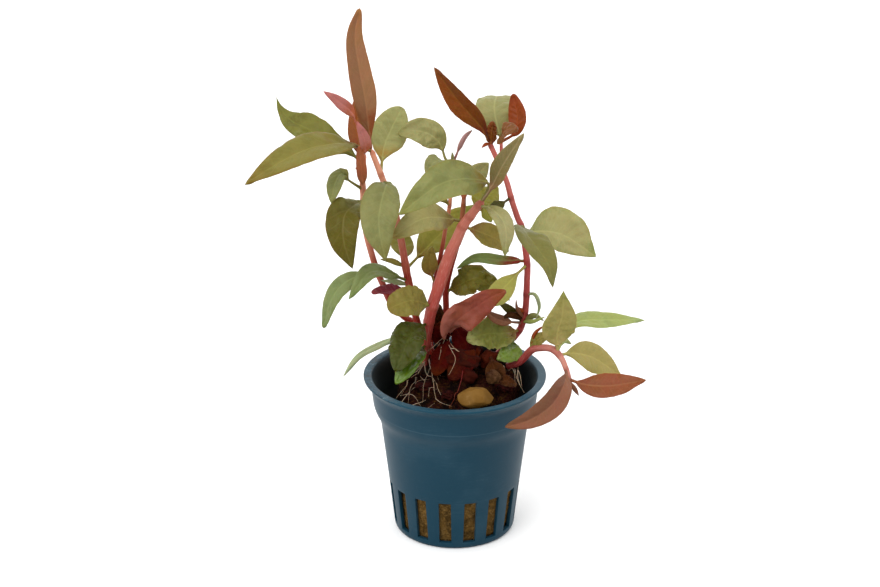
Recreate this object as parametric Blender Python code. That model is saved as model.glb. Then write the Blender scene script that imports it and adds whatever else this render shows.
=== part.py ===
"""Alternanthera reineckii, a young aquarium plant rooted in stone wool in a 5 cm net pot.

World frame: the origin is the centre of the pot's flat underside, +Z is up, +X is to the
viewer's right and the viewer stands at -Y. Every length below is in millimetres and every
angle in degrees, and both are converted where the shapes are made.
"""
import math
from dataclasses import dataclass, replace

import bmesh
import bpy
from mathutils import Matrix, Vector

MM = 0.001
GAP = 0.4

# Pot
POT_HEIGHT = 45.4
POT_WALL = 1.1
POT_FLOOR = 1.2
POT_SEGMENTS = 48
LIP_RADIUS = 25.0
LIP_DROP = 0.55
LIP_SLOPE = 2.6
COLLAR_TOP_RADIUS = 23.0
COLLAR_FOOT_RADIUS = 22.2
COLLAR_FOOT_HEIGHT = 36.0
STEP_RADIUS = 20.4
STEP_HEIGHT = 32.7
SLOT_TOP_RADIUS = 18.2
BASE_RADIUS = 16.6
BASE_CHAMFER = 0.8
SLOT_COUNT = 16
SLOT_WIDTH = 3.4
SLOT_BOTTOM = 2.0
SLOT_TOP = 14.6
SLOT_OFFSET = 2.4
SLOT_CUTTER_DEPTH = 8.0
LIP_ROUND = 0.15

# Stone wool
WOOL_RINGS = 6
WOOL_SEGMENTS = 24
MOUND_RADIUS = 16.4
MOUND_AXIS = (1.0, -0.5)
MOUND_SHOULDER = 38.0
MOUND_TOP = 47.3
MOUND_FALL = 4.0
MOUND_CREST = (2.0, 3.0)
MOUND_RIPPLE = 0.5

# Leaves and stems
LEAF_THICKNESS = 0.45
LEAF_ROWS = 7
SMALL_LEAF_ROWS = 4
LEAF_BELLY = 0.42
LEAF_POINT = 0.85
LEAF_BASE = 1.3
LEAF_BASE_REACH = 0.55
STALK_HALF_WIDTH = 0.45
STALK_TAPER = 0.6
STALK_MOST = 0.6
LEAF_TIP = 0.985
STEM_SIDES = 8
STEM_RING_SPACING = 5.0
STEM_RINGS_LEAST = 8
STEM_FOOT_LIFT = 0.4
FORK_RADII = (0.62, 0.58, 0.5, 0.42)
ROOT_SIDES = 5
ROOT_RINGS = 4
ROOT_RADIUS = 0.22
ROOT_TAPER = 0.12
SPLINE_STEPS = 16
SHARP_ANGLE = 40


@dataclass(frozen=True)
class Finish:
    """The plain colour of one kind of surface."""

    name: str
    colour: tuple
    roughness: float


POT_BLUE = Finish("pot_blue", (0.035, 0.095, 0.14), 0.42)
WOOL_BROWN = Finish("wool_brown", (0.10, 0.055, 0.025), 0.95)
PEBBLE_TAN = Finish("pebble_tan", (0.40, 0.21, 0.07), 0.55)
DEAD_BROWN = Finish("dead_brown", (0.09, 0.045, 0.025), 0.6)
DEAD_RED = Finish("dead_red", (0.07, 0.012, 0.01), 0.5)
STEM_PINK = Finish("stem_pink", (0.55, 0.09, 0.10), 0.45)
STEM_RED = Finish("stem_red", (0.33, 0.025, 0.035), 0.42)
OLIVE = Finish("leaf_olive", (0.24, 0.26, 0.085), 0.5)
GREEN = Finish("leaf_green", (0.17, 0.27, 0.09), 0.5)
DARK = Finish("leaf_dark", (0.11, 0.13, 0.04), 0.5)
PALE = Finish("leaf_pale", (0.35, 0.42, 0.17), 0.5)
OCHRE = Finish("leaf_ochre", (0.36, 0.31, 0.10), 0.5)
RUST = Finish("leaf_rust", (0.27, 0.09, 0.03), 0.5)
PINK = Finish("leaf_pink", (0.38, 0.10, 0.07), 0.5)


@dataclass(frozen=True)
class Leaf:
    """One leaf with its stalk.

    height is where it leaves its stem's middle line, through lists the points that the
    midrib passes and ends at the tip, face is the side that the upper surface looks to
    and fold is the angle by which each half is raised from flat. point and base are how
    drawn out the tip and the foot of the blade are.
    """

    name: str
    stem: str
    height: float
    through: tuple
    width: float
    face: tuple
    fold: float = 12.0
    finish: Finish = OLIVE
    stalk: float = 0.8
    tip_face: tuple = ()
    point: float = LEAF_POINT
    base: float = LEAF_BASE
    belly: float = LEAF_BELLY
    start: float = 0.0
    rising: bool = False
    foot: tuple = ()


@dataclass(frozen=True)
class Stem:
    """One stem: the points of its middle line from its foot up, and its thickness there.

    branches are forks of the same stem. roots are the thin aerial roots near its foot,
    whose third value is the height above the stone wool.
    """

    name: str
    points: tuple
    diameters: tuple
    finish: Finish
    branches: tuple = ()
    roots: tuple = ()


@dataclass(frozen=True)
class Lump:
    """A small irregular lump that lies on the stone wool, turned about the vertical."""

    name: str
    centre: tuple
    size: tuple
    turn: float
    finish: Finish


STEMS = (
    Stem(
        "stem_left",
        ((-8.8, 11, 0), (-10.8, 11.5, 54.5), (-14, 10, 58), (-17.5, 8, 63), (-19.5, 6, 69),
         (-21.5, 5, 75), (-24, 3, 86.5), (-24.5, 2, 97), (-24.5, 1, 104), (-24, 0, 109)),
        (1.7, 1.7, 1.5), STEM_RED,
    ),
    Stem(
        "stem_left_back",
        ((-6.2, 8.5, 0), (-10, 8.8, 56), (-11.5, 7, 64), (-12.5, 6, 69.5), (-13.5, 5, 76),
         (-14.5, 4, 83), (-15.5, 4, 88.5), (-17, 4, 94.5), (-19, 3, 100), (-22.3, 3.3, 109)),
        (1.8, 2.0, 1.4), STEM_RED,
    ),
    Stem(
        "stem_middle",
        ((-8, 5, 0), (-8, 4.5, 50), (-7.7, 4, 54), (-6.5, 2, 63), (-4, 0, 72),
         (-1.5, -2, 81), (0.3, -3, 85.5), (2, -4, 90), (4.5, -5, 94), (7.2, -6, 98)),
        (1.8, 3.2, 1.9), STEM_PINK,
        roots=(((-8, 4.8, 1.6), (-10, 1.5, 1.2), (-14, -4, 0.9)),
               ((-8.2, 4.8, 1.6), (-9.5, -1, 1.2), (-12, -7, 0.9)),
               ((-7.8, 4.8, 1.6), (-6.8, 0, 1.1), (-5, -5, 0.8))),
    ),
    Stem(
        "stem_middle_back",
        ((-3.8, 10, 0), (-3, 8, 52.5), (-2.4, 7, 61), (-2.4, 6, 67.5), (-1.3, 5, 74),
         (0.3, 4, 80.5), (1.6, 4, 86.5), (2.1, 4, 91.5), (2.4, 4, 96)),
        (1.6, 1.7, 1.2), STEM_RED,
        roots=(((-3, 8, 6.4), (-4.2, 4.6, 5.6), (-4.6, 2.6, 5)),
               ((-2.9, 8, 6.4), (-1.6, 5, 4.6), (-1, 2, 2)),),
    ),
    Stem(
        "stem_thin",
        ((-6.6, 13, 0), (-6.4, 13, 58.5), (-5.4, 11, 68), (-4.4, 10, 73.5), (-3.2, 9, 80),
         (-2.4, 8, 86), (-1.4, 8, 92), (-0.8, 8, 103)),
        (1.2, 1.2, 0.9), STEM_RED,
    ),
    Stem(
        "stem_right",
        ((11.5, 9.5, 0), (17.3, 9, 53.5), (18.6, 8, 57), (19.4, 7, 62), (19.6, 6, 70),
         (19.5, 5, 76), (18, 4, 86), (16.7, 4, 89.5), (15, 3, 95), (13.5, 3, 100.5),
         (10.4, 2, 108), (8.8, 2, 111.5)),
        (1.8, 1.7, 1.3), STEM_RED,
        branches=(((13.7, 3, 99.5), (12.4, 4, 105.5), (12.1, 4, 111)),),
    ),
    Stem(
        "stem_low",
        ((14.5, 2.5, 0), (17.9, 1, 48.5), (20.3, -1, 52.3), (22, -2, 53.8), (26, -5, 55),
         (28.6, -7, 53.2), (30, -9, 50.5), (30.6, -10, 49), (31.2, -10, 46)),
        (1.9, 1.9, 0.9), STEM_RED,
        roots=(((15.2, 2, 1.2), (14.8, -3, 0.8), (15.5, -7, 0.8)),),
    ),
)

LEAVES = (
    Leaf("leaf_left_tall", "stem_left_back", 109,
         ((-23.5, 0, 123), (-25, -1, 132.5), (-26, -1.5, 141.5), (-24.6, -1, 148.6)),
         6.6, (0.35, -0.9, 0.1), 12, RUST, 1.5, point=0.5, belly=0.4),
    Leaf("leaf_left_tall_back", "stem_left", 105, ((-25.9, 10.5, 112.8), (-25.2, 16.5, 122.1)),
         5.8, (-0.2, -1, 0.1), 14, RUST, 1.5, point=0.75),
    Leaf("leaf_left_pink", "stem_left", 109, ((-26.5, -3, 120), (-30, -6, 125), (-34, -8, 128.6)),
         3.4, (0.3, -0.9, 0.3), 16, PINK, 10),
    Leaf("leaf_left_long", "stem_left_back", 108.4,
         ((-25, 1.8, 110), (-28.8, -4, 113), (-33, -8, 114), (-38.5, -12, 114), (-45.5, -17, 112),
          (-53.7, -22, 108.1)),
         10.4, (-0.1, -0.55, 0.8), 16, OLIVE, 2.4, belly=0.45, base=1.5, start=2.2),
    Leaf("leaf_left_hooked", "stem_left", 106,
         ((-28.5, 4.6, 108), (-34, 7, 109.5), (-39.5, 11, 112), (-44, 15, 113), (-47, 19, 115),
          (-48.3, 21, 118.1)),
         9.6, (-0.1, -0.7, 0.7), 26, OLIVE, 1.5, belly=0.42, point=1.35, base=1.5),
    Leaf("leaf_left_hanging_small", "stem_left", 98.2,
         ((-28, -1.2, 101.8), (-30, -3, 104.2), (-31.6, -5, 101.8), (-32.5, -7, 97.5)),
         5.4, (-0.5, -0.5, 0.7), 12, GREEN, 3, tip_face=(-0.5, -0.8, 0.3), base=1.4, belly=0.5,
         start=3.2),
    Leaf("leaf_left_hanging_dark", "stem_left", 95,
         ((-26.8, -5, 96), (-29, -9, 94.6), (-29.2, -12, 89), (-27, -12, 81)),
         10.0, (-0.2, -0.9, 0.45), 20, DARK, belly=0.42, point=0.95, base=1.0),
    Leaf("leaf_left_drooping", "stem_left_back", 99,
         ((-18.3, -2, 100.6), (-19.6, -8, 97.5), (-20, -12, 92.5), (-18.3, -12, 83.3)),
         10.6, (0.05, -1, 0.35), 14, GREEN, belly=0.42, point=0.9, base=1.0),
    Leaf("leaf_left_yellow", "stem_left_back", 102,
         ((-19, 8.5, 107.8), (-17, 12.5, 111.8), (-14.2, 17, 116.2)),
         10.0, (0.3, -0.85, 0.4), 10, OCHRE, 2, belly=0.5, point=0.55, base=1.2),
    Leaf("leaf_thin_top", "stem_thin", 101.5,
         ((-2.7, 8.4, 104.8), (-4, 8.6, 108.6), (-7, 9, 111.3), (-11, 9.6, 112),
          (-15.4, 10, 110.9)),
         8.0, (-0.3, -0.8, 0.6), 20, OLIVE, 4, start=2.2, point=0.7, base=1.3),
    Leaf("leaf_thin_curled", "stem_thin", 101.5,
         ((-3.4, 3.6, 105.6), (-5.8, 0.6, 106), (-7.6, -1, 103.4)),
         6.2, (-0.2, -0.1, 1), 8, GREEN, tip_face=(-0.3, -0.9, 0.3), point=0.6, base=1.0),
    Leaf("leaf_middle_big", "stem_middle", 97.5,
         ((8.2, -7, 103.4), (-2.7, -15.5, 106.4), (-14.7, -20, 99.2)),
         11.6, (-0.1, -0.75, 0.65), 20, GREEN, 5, belly=0.4, base=1.2),
    Leaf("leaf_middle_upright", "stem_middle", 98,
         ((9.4, -8.6, 102.5), (12.4, -13, 110.5), (17.4, -16, 120)),
         6.0, (-0.6, -0.8, 0.3), 24, OLIVE, 2.6, base=1.5),
    Leaf("leaf_right_red", "stem_right", 111.5, ((7, 0, 116), (1, -4, 124.5), (-5.6, -9, 135.3)),
         7.0, (-0.4, -0.9, 0.1), 18, RUST, 0.6, base=1.4),
    Leaf("leaf_right_arched", "stem_right", 0, ((10.4, 9.4, 117.6), (11.2, 16, 119.4), (12.4, 24, 115)),
         10.4, (-0.15, -0.9, 0.6), 1, GREEN, 0.3, tip_face=(0, 0.5, 1), foot=(12.2, 4, 110.8),
         start=1.6, base=0.75),
    Leaf("leaf_right_red_small", "stem_right", 0, ((15.8, 3.6, 113.6), (16.4, 5, 118), (15.2, 7, 123.2)),
         5.4, (-0.5, -0.9, 0.1), 14, RUST, 1.8, foot=(12.2, 4, 110.8), start=1.6, point=0.6, belly=0.48,
         base=0.9),
    Leaf("leaf_right_young", "stem_right", 0,
         ((12.2, -0.8, 114.2), (13.6, -3.4, 116.6), (16.2, -5.2, 117.4)),
         6.0, (-0.3, -0.8, 0.6), 10, RUST, 1.5, tip_face=(0.1, -0.6, 0.8), foot=(12.2, 4, 110.8),
         start=1.6, point=0.6, base=1.1),
    Leaf("leaf_thin_edge_on", "stem_thin", 102.7,
         ((1.2, 9.6, 107.4), (2.7, 10.6, 110), (4.6, 12, 111.4)),
         1.5, (-0.8, -0.3, 0.8), 12, PINK, 2, start=2.2, point=0.6),
    Leaf("leaf_middle_grey", "stem_middle_back", 88.5, ((-8, -3, 91.8), (-17, -5.5, 87.1)),
         8.8, (0, -0.7, 0.7), 16, GREEN, 1.2, base=1.1, point=0.75),
    Leaf("leaf_back_yellow", "stem_left_back", 74,
         ((-7.8, 13.5, 76.8), (-1.3, 19, 81.4), (6.4, 23, 86.1)),
         10.0, (-0.3, -0.8, 0.5), 12, OCHRE, 4, base=1.5),
    Leaf("leaf_back_dark", "stem_thin", 67.5, ((-6.9, 8, 74), (-6.2, 6.5, 80.3)),
         4.7, (0.1, -0.9, 0.2), 14, DARK, start=2.4, base=1.4),
    Leaf("leaf_back_olive", "stem_left_back", 75.5, ((-14.4, 13, 78), (-15.6, 19, 82.4)),
         6.5, (0.2, -0.9, 0.4), 12, OCHRE, base=1.2),
    Leaf("leaf_left_arching", "stem_left_back", 70.5, ((-22.2, -2.5, 76.4), (-28.3, -10, 71.5)),
         5.8, (-0.1, -0.6, 0.8), 14, GREEN, start=2.6),
    Leaf("leaf_left_low", "stem_left", 73.5, ((-28.8, 5, 70.8), (-33.4, 5.5, 65.3), (-36.1, 8, 55.4)),
         6.2, (-0.6, -0.7, 0.5), 12, GREEN, point=0.6),
    Leaf("leaf_left_folded", "stem_left_back", 67.5, ((-17.5, 0, 69.8), (-22.3, -5, 71.5)),
         4.4, (0, -0.6, 0.8), 30, PINK, point=0.55),
    Leaf("leaf_middle_ochre", "stem_middle", 64.5, ((-10.2, -3, 68), (-13.5, -6, 69), (-18, -8, 67.8)),
         8.6, (0, -0.85, 0.55), 12, OCHRE, 0.2, point=0.42, belly=0.52, base=0.7),
    Leaf("leaf_pot_crumpled", "stem_middle", 59.5,
         ((-11.6, -3, 58.5), (-13.6, -7, 55.5), (-16, -10, 50.5)),
         10.0, (-0.3, -0.85, 0.5), 16, DARK, 0.2, point=0.6, base=0.9),
    Leaf("leaf_pot_wet", "stem_middle", 52, ((-11.5, -4, 52), (-13.5, -8, 50), (-16, -10, 46.6)),
         7.4, (-0.3, -0.8, 0.6), 16, GREEN, 0.4, point=0.7, base=1.1),
    Leaf("leaf_pale_thin", "stem_left_back", 54.5,
         ((-16.5, 11, 50.8), (-20.7, 11, 49), (-26.5, 8.5, 46.6), (-31, 7, 41)),
         2.7, (-0.3, -0.5, 0.9), 6, PALE, 5),
    Leaf("leaf_front_pink", "stem_middle_back", 51,
         ((-0.6, 0, 60), (4.4, -5, 66.4), (9, -9, 71.4), (13.4, -12, 74.8)),
         9.2, (0.4, -0.8, 0.5), 20, PINK, 0.6, start=2.4, point=0.6, base=1.0),
    Leaf("leaf_back_top", "stem_middle_back", 97, ((5.3, 6.4, 100.2), (9, 8, 103.6)),
         5.6, (0.3, -0.8, 0.3), 12, OLIVE, 2.5, start=1.0),
    Leaf("leaf_back_ochre", "stem_middle", 93, ((8, 3.4, 94.8), (11.5, 8.5, 96.6)),
         8.0, (0.2, -0.7, 0.7), 12, OCHRE, 2, base=1.1),
    Leaf("leaf_right_small_dark", "stem_right", 95.5, ((11.6, 0, 94.4), (9, -1, 94.2)),
         3.4, (0, -0.7, 0.7), 20, DARK, 0.2, belly=0.6, base=1.4),
    Leaf("leaf_middle_hanging", "stem_middle", 96.5,
         ((10, -9.6, 96.4), (12.8, -14, 93.6), (12.9, -16, 86.1)),
         5.6, (0.4, -0.8, 0.5), 20, GREEN, base=1.1),
    Leaf("leaf_right_drooping", "stem_right", 87,
         ((18.6, -4.6, 88.4), (21.3, -10, 86.2), (24.3, -13, 82.5), (25.6, -15, 76.8)),
         9.0, (0.4, -0.3, 0.9), 16, GREEN, 0.2, tip_face=(0.35, -0.85, 0.4), belly=0.4, point=1.0,
         base=1.0),
    Leaf("leaf_right_broad", "stem_right", 85.5, ((28.7, 11.5, 81.8), (38.9, 16, 73.3)),
         12.4, (0.1, -0.85, 0.5), 10, OLIVE, point=1.0, base=1.2),
    Leaf("leaf_right_twisted", "stem_right", 76.5, ((13.5, 5, 76.6), (5.5, 5, 77), (0.3, 5, 74.2)),
         3.8, (0, -0.6, 0.8), 20, GREEN, 0.1, base=0.6),
    Leaf("leaf_right_yellow", "stem_right", 75.5,
         ((16, 1.4, 73.4), (12.2, -1.6, 70.2), (8.8, -3.8, 67.4)),
         6.4, (0.2, -0.8, 0.5), 14, OCHRE, 0.3, belly=0.66, base=1.3, point=0.6),
    Leaf("leaf_middle_crumpled", "stem_middle_back", 67,
         ((3.5, 2, 71.8), (6.5, 1.6, 72.6), (12, 1.5, 68.8)),
         8.6, (0, -0.7, 0.7), 18, GREEN, 0.3, point=0.6, base=0.9),
    Leaf("leaf_middle_brown", "stem_middle", 90, ((7.5, -0.6, 86.6), (11.4, 1, 84), (14.4, 2, 80.2)),
         7.0, (0.2, -0.8, 0.5), 22, DARK, 0.4, base=1.1),
    Leaf("leaf_low_upright", "stem_low", 54.2, ((27.4, -6, 60), (28.6, -6, 65), (29, -5, 72)),
         9.6, (0.2, -0.95, 0.1), 12, OCHRE, 0.6, point=1.1, belly=0.36, base=1.2),
    Leaf("leaf_low_pale", "stem_low", 54.4, ((32.7, 5.5, 57.8), (42.9, 13.5, 55.4), (53.4, 19, 53)),
         6.6, (0, -0.5, 0.85), 12, PALE, 6, belly=0.45, point=1.0),
    Leaf("leaf_pot_green", "stem_right", 54.5, ((13.6, 4.4, 55.4), (8.5, 2.4, 56), (3.2, 0.4, 55.1)),
         9.4, (0, -0.7, 0.7), 16, GREEN, 0.2, point=0.6, belly=0.5, base=0.8),
    Leaf("leaf_pot_bright", "stem_right", 52.2, ((15.2, 2, 51), (11.4, -1.6, 50.2)),
         6.4, (0, -0.8, 0.6), 14, GREEN, 1.5, base=0.9),
    Leaf("leaf_low_ochre", "stem_low", 53.8,
         ((32.2, -4, 53.2), (37, -1, 50.8), (41.4, 1, 47.2), (45.9, 3, 42.7)),
         8.4, (0.2, -0.8, 0.6), 10, OCHRE, 0.4, base=1.3),
    Leaf("leaf_low_red", "stem_low", 48.2, ((35.4, -12.4, 47.6), (42, -15, 48.6), (50.7, -18, 51.7)),
         7.3, (0, -0.75, 0.65), 16, RUST, 0.6, belly=0.42, base=1.1),
    Leaf("leaf_low_over_rim", "stem_low", 50.6,
         ((29, -15, 49), (25.6, -20.5, 45.6), (19.8, -24.5, 43.2), (13, -27, 42.2)),
         6.9, (0.3, -0.8, 0.5), 18, RUST, 0.6, point=0.7, base=1.0),
)

YOUNG_LEAVES = (
    Leaf("young_left_top", "stem_left", 109, ((-23.6, -3, 113), (-25.5, -5, 119.5)),
         3.4, (0.3, -0.9, 0.3), 20, PINK, 0.3, base=1.0),
    Leaf("spike_left", "stem_left", 102.9, ((-25.4, 0.4, 104.2), (-26.4, -0.6, 105.2)),
         0.9, (0, -0.9, 0.3), 0, PINK),
    Leaf("young_left_middle", "stem_left_back", 69, ((-16.3, 4.6, 70.6), (-20, 4, 71.2)),
         1.6, (0, -0.8, 0.6), 5, PALE),
    Leaf("young_left_bud", "stem_left_back", 74.5, ((-17, 5.5, 76.3), (-20.3, 5, 77)),
         1.6, (0, -0.8, 0.6), 5, OCHRE),
    Leaf("young_middle", "stem_middle", 96.5, ((8, -3.8, 94.2), (9.6, -3.4, 90.8)),
         4.0, (0.3, -0.8, 0.5), 10, OCHRE, base=1.0),
    Leaf("bud_thin", "stem_thin", 102.5, ((-0.7, 7.5, 105.5), (-0.9, 7.2, 107)),
         0.9, (0, -0.9, 0.3), 0, GREEN),
    Leaf("young_thin_left", "stem_thin", 91.5, ((-5, 7, 95), (-9, 6, 92.5)),
         3.0, (0, -0.8, 0.6), 5, OCHRE),
    Leaf("young_thin_right", "stem_thin", 70, ((-2.8, 9, 75), (-1.8, 8.5, 78.8)),
         1.8, (0, -0.9, 0.4), 5, PALE),
    Leaf("spike_right", "stem_right", 110.8, ((8, 0.5, 111.3), (6.8, -0.3, 110.5)),
         0.9, (0, -0.9, 0.3), 0, RUST),
    Leaf("young_right_dark", "stem_right", 57.5, ((14.5, 5, 62.5), (11.2, 4, 65.4)),
         2.6, (0, -0.8, 0.5), 15, DARK),
    Leaf("young_right_crescent", "stem_right", 64.5, ((22.3, 4, 64.3), (21, 3, 60.5)),
         1.0, (0.8, -0.5, 0.3), 5, GREEN),
    Leaf("young_right_low", "stem_right", 56.5, ((21.5, 6, 60), (24.5, 5, 58.8)),
         1.8, (0, -0.8, 0.6), 5, GREEN),
    Leaf("bud_right", "stem_right", 60.5, ((17.8, 5.5, 62), (17.4, 5, 63)),
         1.3, (0, -0.9, 0.3), 0, RUST),
    Leaf("young_low_left", "stem_low", 52.5, ((22.6, -2, 56.4), (26.8, -2, 58.6)),
         3.6, (0, -0.7, 0.7), 10, OCHRE, 0.4, rising=True),
    Leaf("young_low_right", "stem_low", 54.8, ((29.4, 0, 55.2), (32, 3, 52.8)),
         2.0, (0, -0.7, 0.7), 5, PALE),
)

LUMPS = (
    Lump("pebble_tan", (5.5, -14.2, 45.75), (9.6, 6.4, 5.4), 8, PEBBLE_TAN),
    Lump("dead_leaf_curled", (10.4, -7.5, 47.7), (4.8, 3.2, 4.8), -20, DEAD_BROWN),
    Lump("dead_leaf_red", (2, -2.2, 50.4), (10.5, 8.6, 5.2), 10, DEAD_RED),
    Lump("dead_leaf_brown", (2.4, 8.6, 52.2), (7, 4.6, 8), 0, DEAD_BROWN),
)
LUMP_DENT = 0.12


def clear_scene():
    """Remove the objects that the file opens with."""
    for thing in list(bpy.data.objects):
        bpy.data.objects.remove(thing)


def material(finish):
    """Return the material of a finish, made the first time that it is asked for."""
    known = bpy.data.materials.get(finish.name)
    if known:
        return known
    made = bpy.data.materials.new(finish.name)
    made.use_nodes = True
    shader = made.node_tree.nodes["Principled BSDF"]
    shader.inputs["Base Color"].default_value = (*finish.colour, 1.0)
    shader.inputs["Roughness"].default_value = finish.roughness
    shader.inputs["Metallic"].default_value = 0.0
    made.diffuse_color = (*finish.colour, 1.0)
    return made


def add_object(name, mesh_data, finish):
    """Wrap a bmesh as a smooth shaded object with one material."""
    mesh = bpy.data.meshes.new(name)
    bmesh.ops.recalc_face_normals(mesh_data, faces=mesh_data.faces)
    mesh_data.to_mesh(mesh)
    mesh_data.free()
    mesh.materials.append(material(finish))
    mesh.shade_smooth()
    mesh.set_sharp_from_angle(angle=math.radians(SHARP_ANGLE))
    made = bpy.data.objects.new(name, mesh)
    bpy.context.scene.collection.objects.link(made)
    return made


def hide(cutter):
    """Mark an object as a tool of a Boolean that isn't a part of the model."""
    cutter.hide_render = True
    cutter.display_type = "WIRE"


def boolean(target, operation, tools):
    """Join or cut a target with hidden tool objects."""
    group = bpy.data.collections.new(target.name + "_tools")
    bpy.context.scene.collection.children.link(group)
    for tool in tools:
        bpy.context.scene.collection.objects.unlink(tool)
        group.objects.link(tool)
        hide(tool)
    change = target.modifiers.new(operation.lower(), "BOOLEAN")
    change.operation = operation
    change.solver = "EXACT"
    change.operand_type = "COLLECTION"
    change.collection = group


def smooth_path(points, count):
    """Return count + 1 points, evenly spaced along a smooth curve through the points."""
    ends = [points[0] * 2 - points[1], *points, points[-1] * 2 - points[-2]]
    fine = []
    for a, b, c, d in zip(ends, ends[1:], ends[2:], ends[3:]):
        for step in range(SPLINE_STEPS):
            t = step / SPLINE_STEPS
            fine.append(0.5 * (2 * b + (c - a) * t + (2 * a - 5 * b + 4 * c - d) * t ** 2
                               + (3 * b - 3 * c + d - a) * t ** 3))
    fine.append(points[-1])
    return resample(fine, count)


def resample(points, count):
    """Return count + 1 points, evenly spaced along a line of many points."""
    lengths = [0.0]
    for a, b in zip(points, points[1:]):
        lengths.append(lengths[-1] + (b - a).length)
    spaced = []
    segment = 0
    for step in range(count + 1):
        target = lengths[-1] * step / count
        while segment < len(points) - 2 and lengths[segment + 1] < target:
            segment += 1
        span = max(lengths[segment + 1] - lengths[segment], 1e-9)
        share = (target - lengths[segment]) / span
        spaced.append(points[segment].lerp(points[segment + 1], min(max(share, 0.0), 1.0)))
    return spaced


def tangents(points):
    """Return the unit direction of a line at each of its points."""
    last = len(points) - 1
    return [(points[min(i + 1, last)] - points[max(i - 1, 0)]).normalized() for i in range(last + 1)]


def mound_height(x, y):
    """Return the height of the stone wool's domed top."""
    away = math.hypot(x - MOUND_CREST[0], y - MOUND_CREST[1]) / MOUND_RADIUS
    ripple = MOUND_RIPPLE * (math.sin(0.9 * x) + math.sin(0.8 * y + 1.0))
    return MOUND_TOP - MOUND_FALL * away ** 2 + ripple


def wall_radius(height):
    """Return the outer radius of the pot's wall at a height."""
    profile = ((0.0, BASE_RADIUS), (SLOT_TOP, SLOT_TOP_RADIUS), (STEP_HEIGHT, STEP_RADIUS),
               (COLLAR_FOOT_HEIGHT, COLLAR_FOOT_RADIUS), (POT_HEIGHT, COLLAR_TOP_RADIUS))
    for (low, r_low), (high, r_high) in zip(profile, profile[1:]):
        if height <= high:
            return r_low + (r_high - r_low) * (height - low) / (high - low)
    return COLLAR_TOP_RADIUS


def make_pot():
    """Turn the pot's profile and cut its ring of slots."""
    outer = [
        (BASE_RADIUS - BASE_CHAMFER, 0.0),
        (BASE_RADIUS, BASE_CHAMFER),
        (SLOT_TOP_RADIUS, SLOT_TOP),
        (STEP_RADIUS, STEP_HEIGHT),
        (COLLAR_FOOT_RADIUS, COLLAR_FOOT_HEIGHT),
        (COLLAR_TOP_RADIUS, POT_HEIGHT - LIP_SLOPE),
        (LIP_RADIUS - LIP_ROUND, POT_HEIGHT - LIP_DROP),
        (LIP_RADIUS, POT_HEIGHT - LIP_DROP / 2),
        (LIP_RADIUS - LIP_ROUND, POT_HEIGHT),
    ]
    inner = [
        (COLLAR_TOP_RADIUS, POT_HEIGHT),
        (COLLAR_TOP_RADIUS - POT_WALL, POT_HEIGHT - LIP_SLOPE),
        (COLLAR_FOOT_RADIUS - POT_WALL, COLLAR_FOOT_HEIGHT),
        (STEP_RADIUS - POT_WALL, STEP_HEIGHT),
        (wall_radius(POT_FLOOR) - POT_WALL, POT_FLOOR),
    ]
    shape = bmesh.new()
    rings = []
    for radius, height in outer + inner:
        ring = []
        for step in range(POT_SEGMENTS):
            turn = 2 * math.pi * step / POT_SEGMENTS
            corner = Vector((radius * math.cos(turn), radius * math.sin(turn), height))
            ring.append(shape.verts.new(corner * MM))
        rings.append(ring)
    for lower, upper in zip(rings, rings[1:]):
        for step in range(POT_SEGMENTS):
            after = (step + 1) % POT_SEGMENTS
            shape.faces.new((lower[step], lower[after], upper[after], upper[step]))
    shape.faces.new(rings[0])
    shape.faces.new(rings[-1])
    pot = add_object("pot", shape, POT_BLUE)
    cutters = bmesh.new()
    middle = (SLOT_BOTTOM + SLOT_TOP) / 2
    size = (SLOT_CUTTER_DEPTH * MM, SLOT_WIDTH * MM, (SLOT_TOP - SLOT_BOTTOM) * MM, 1)
    for index in range(SLOT_COUNT):
        turn = math.radians(SLOT_OFFSET - 90) + 2 * math.pi * (index + 0.5) / SLOT_COUNT
        place = (Matrix.Rotation(turn, 4, "Z")
                 @ Matrix.Translation(Vector((BASE_RADIUS, 0, middle)) * MM)
                 @ Matrix.Diagonal(size))
        bmesh.ops.create_cube(cutters, size=1.0, matrix=place)
    slots = add_object("pot_slot_cutter", cutters, POT_BLUE)
    boolean(pot, "DIFFERENCE", [slots])


def ring_points(radius, middle, height):
    """Return a level ring of points; height is a number or a function of x and y."""
    points = []
    for k in range(WOOL_SEGMENTS):
        turn = 2 * math.pi * k / WOOL_SEGMENTS
        x = middle[0] + radius * math.cos(turn)
        y = middle[1] + radius * math.sin(turn)
        points.append((x, y, height(x, y) if callable(height) else height))
    return points


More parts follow.
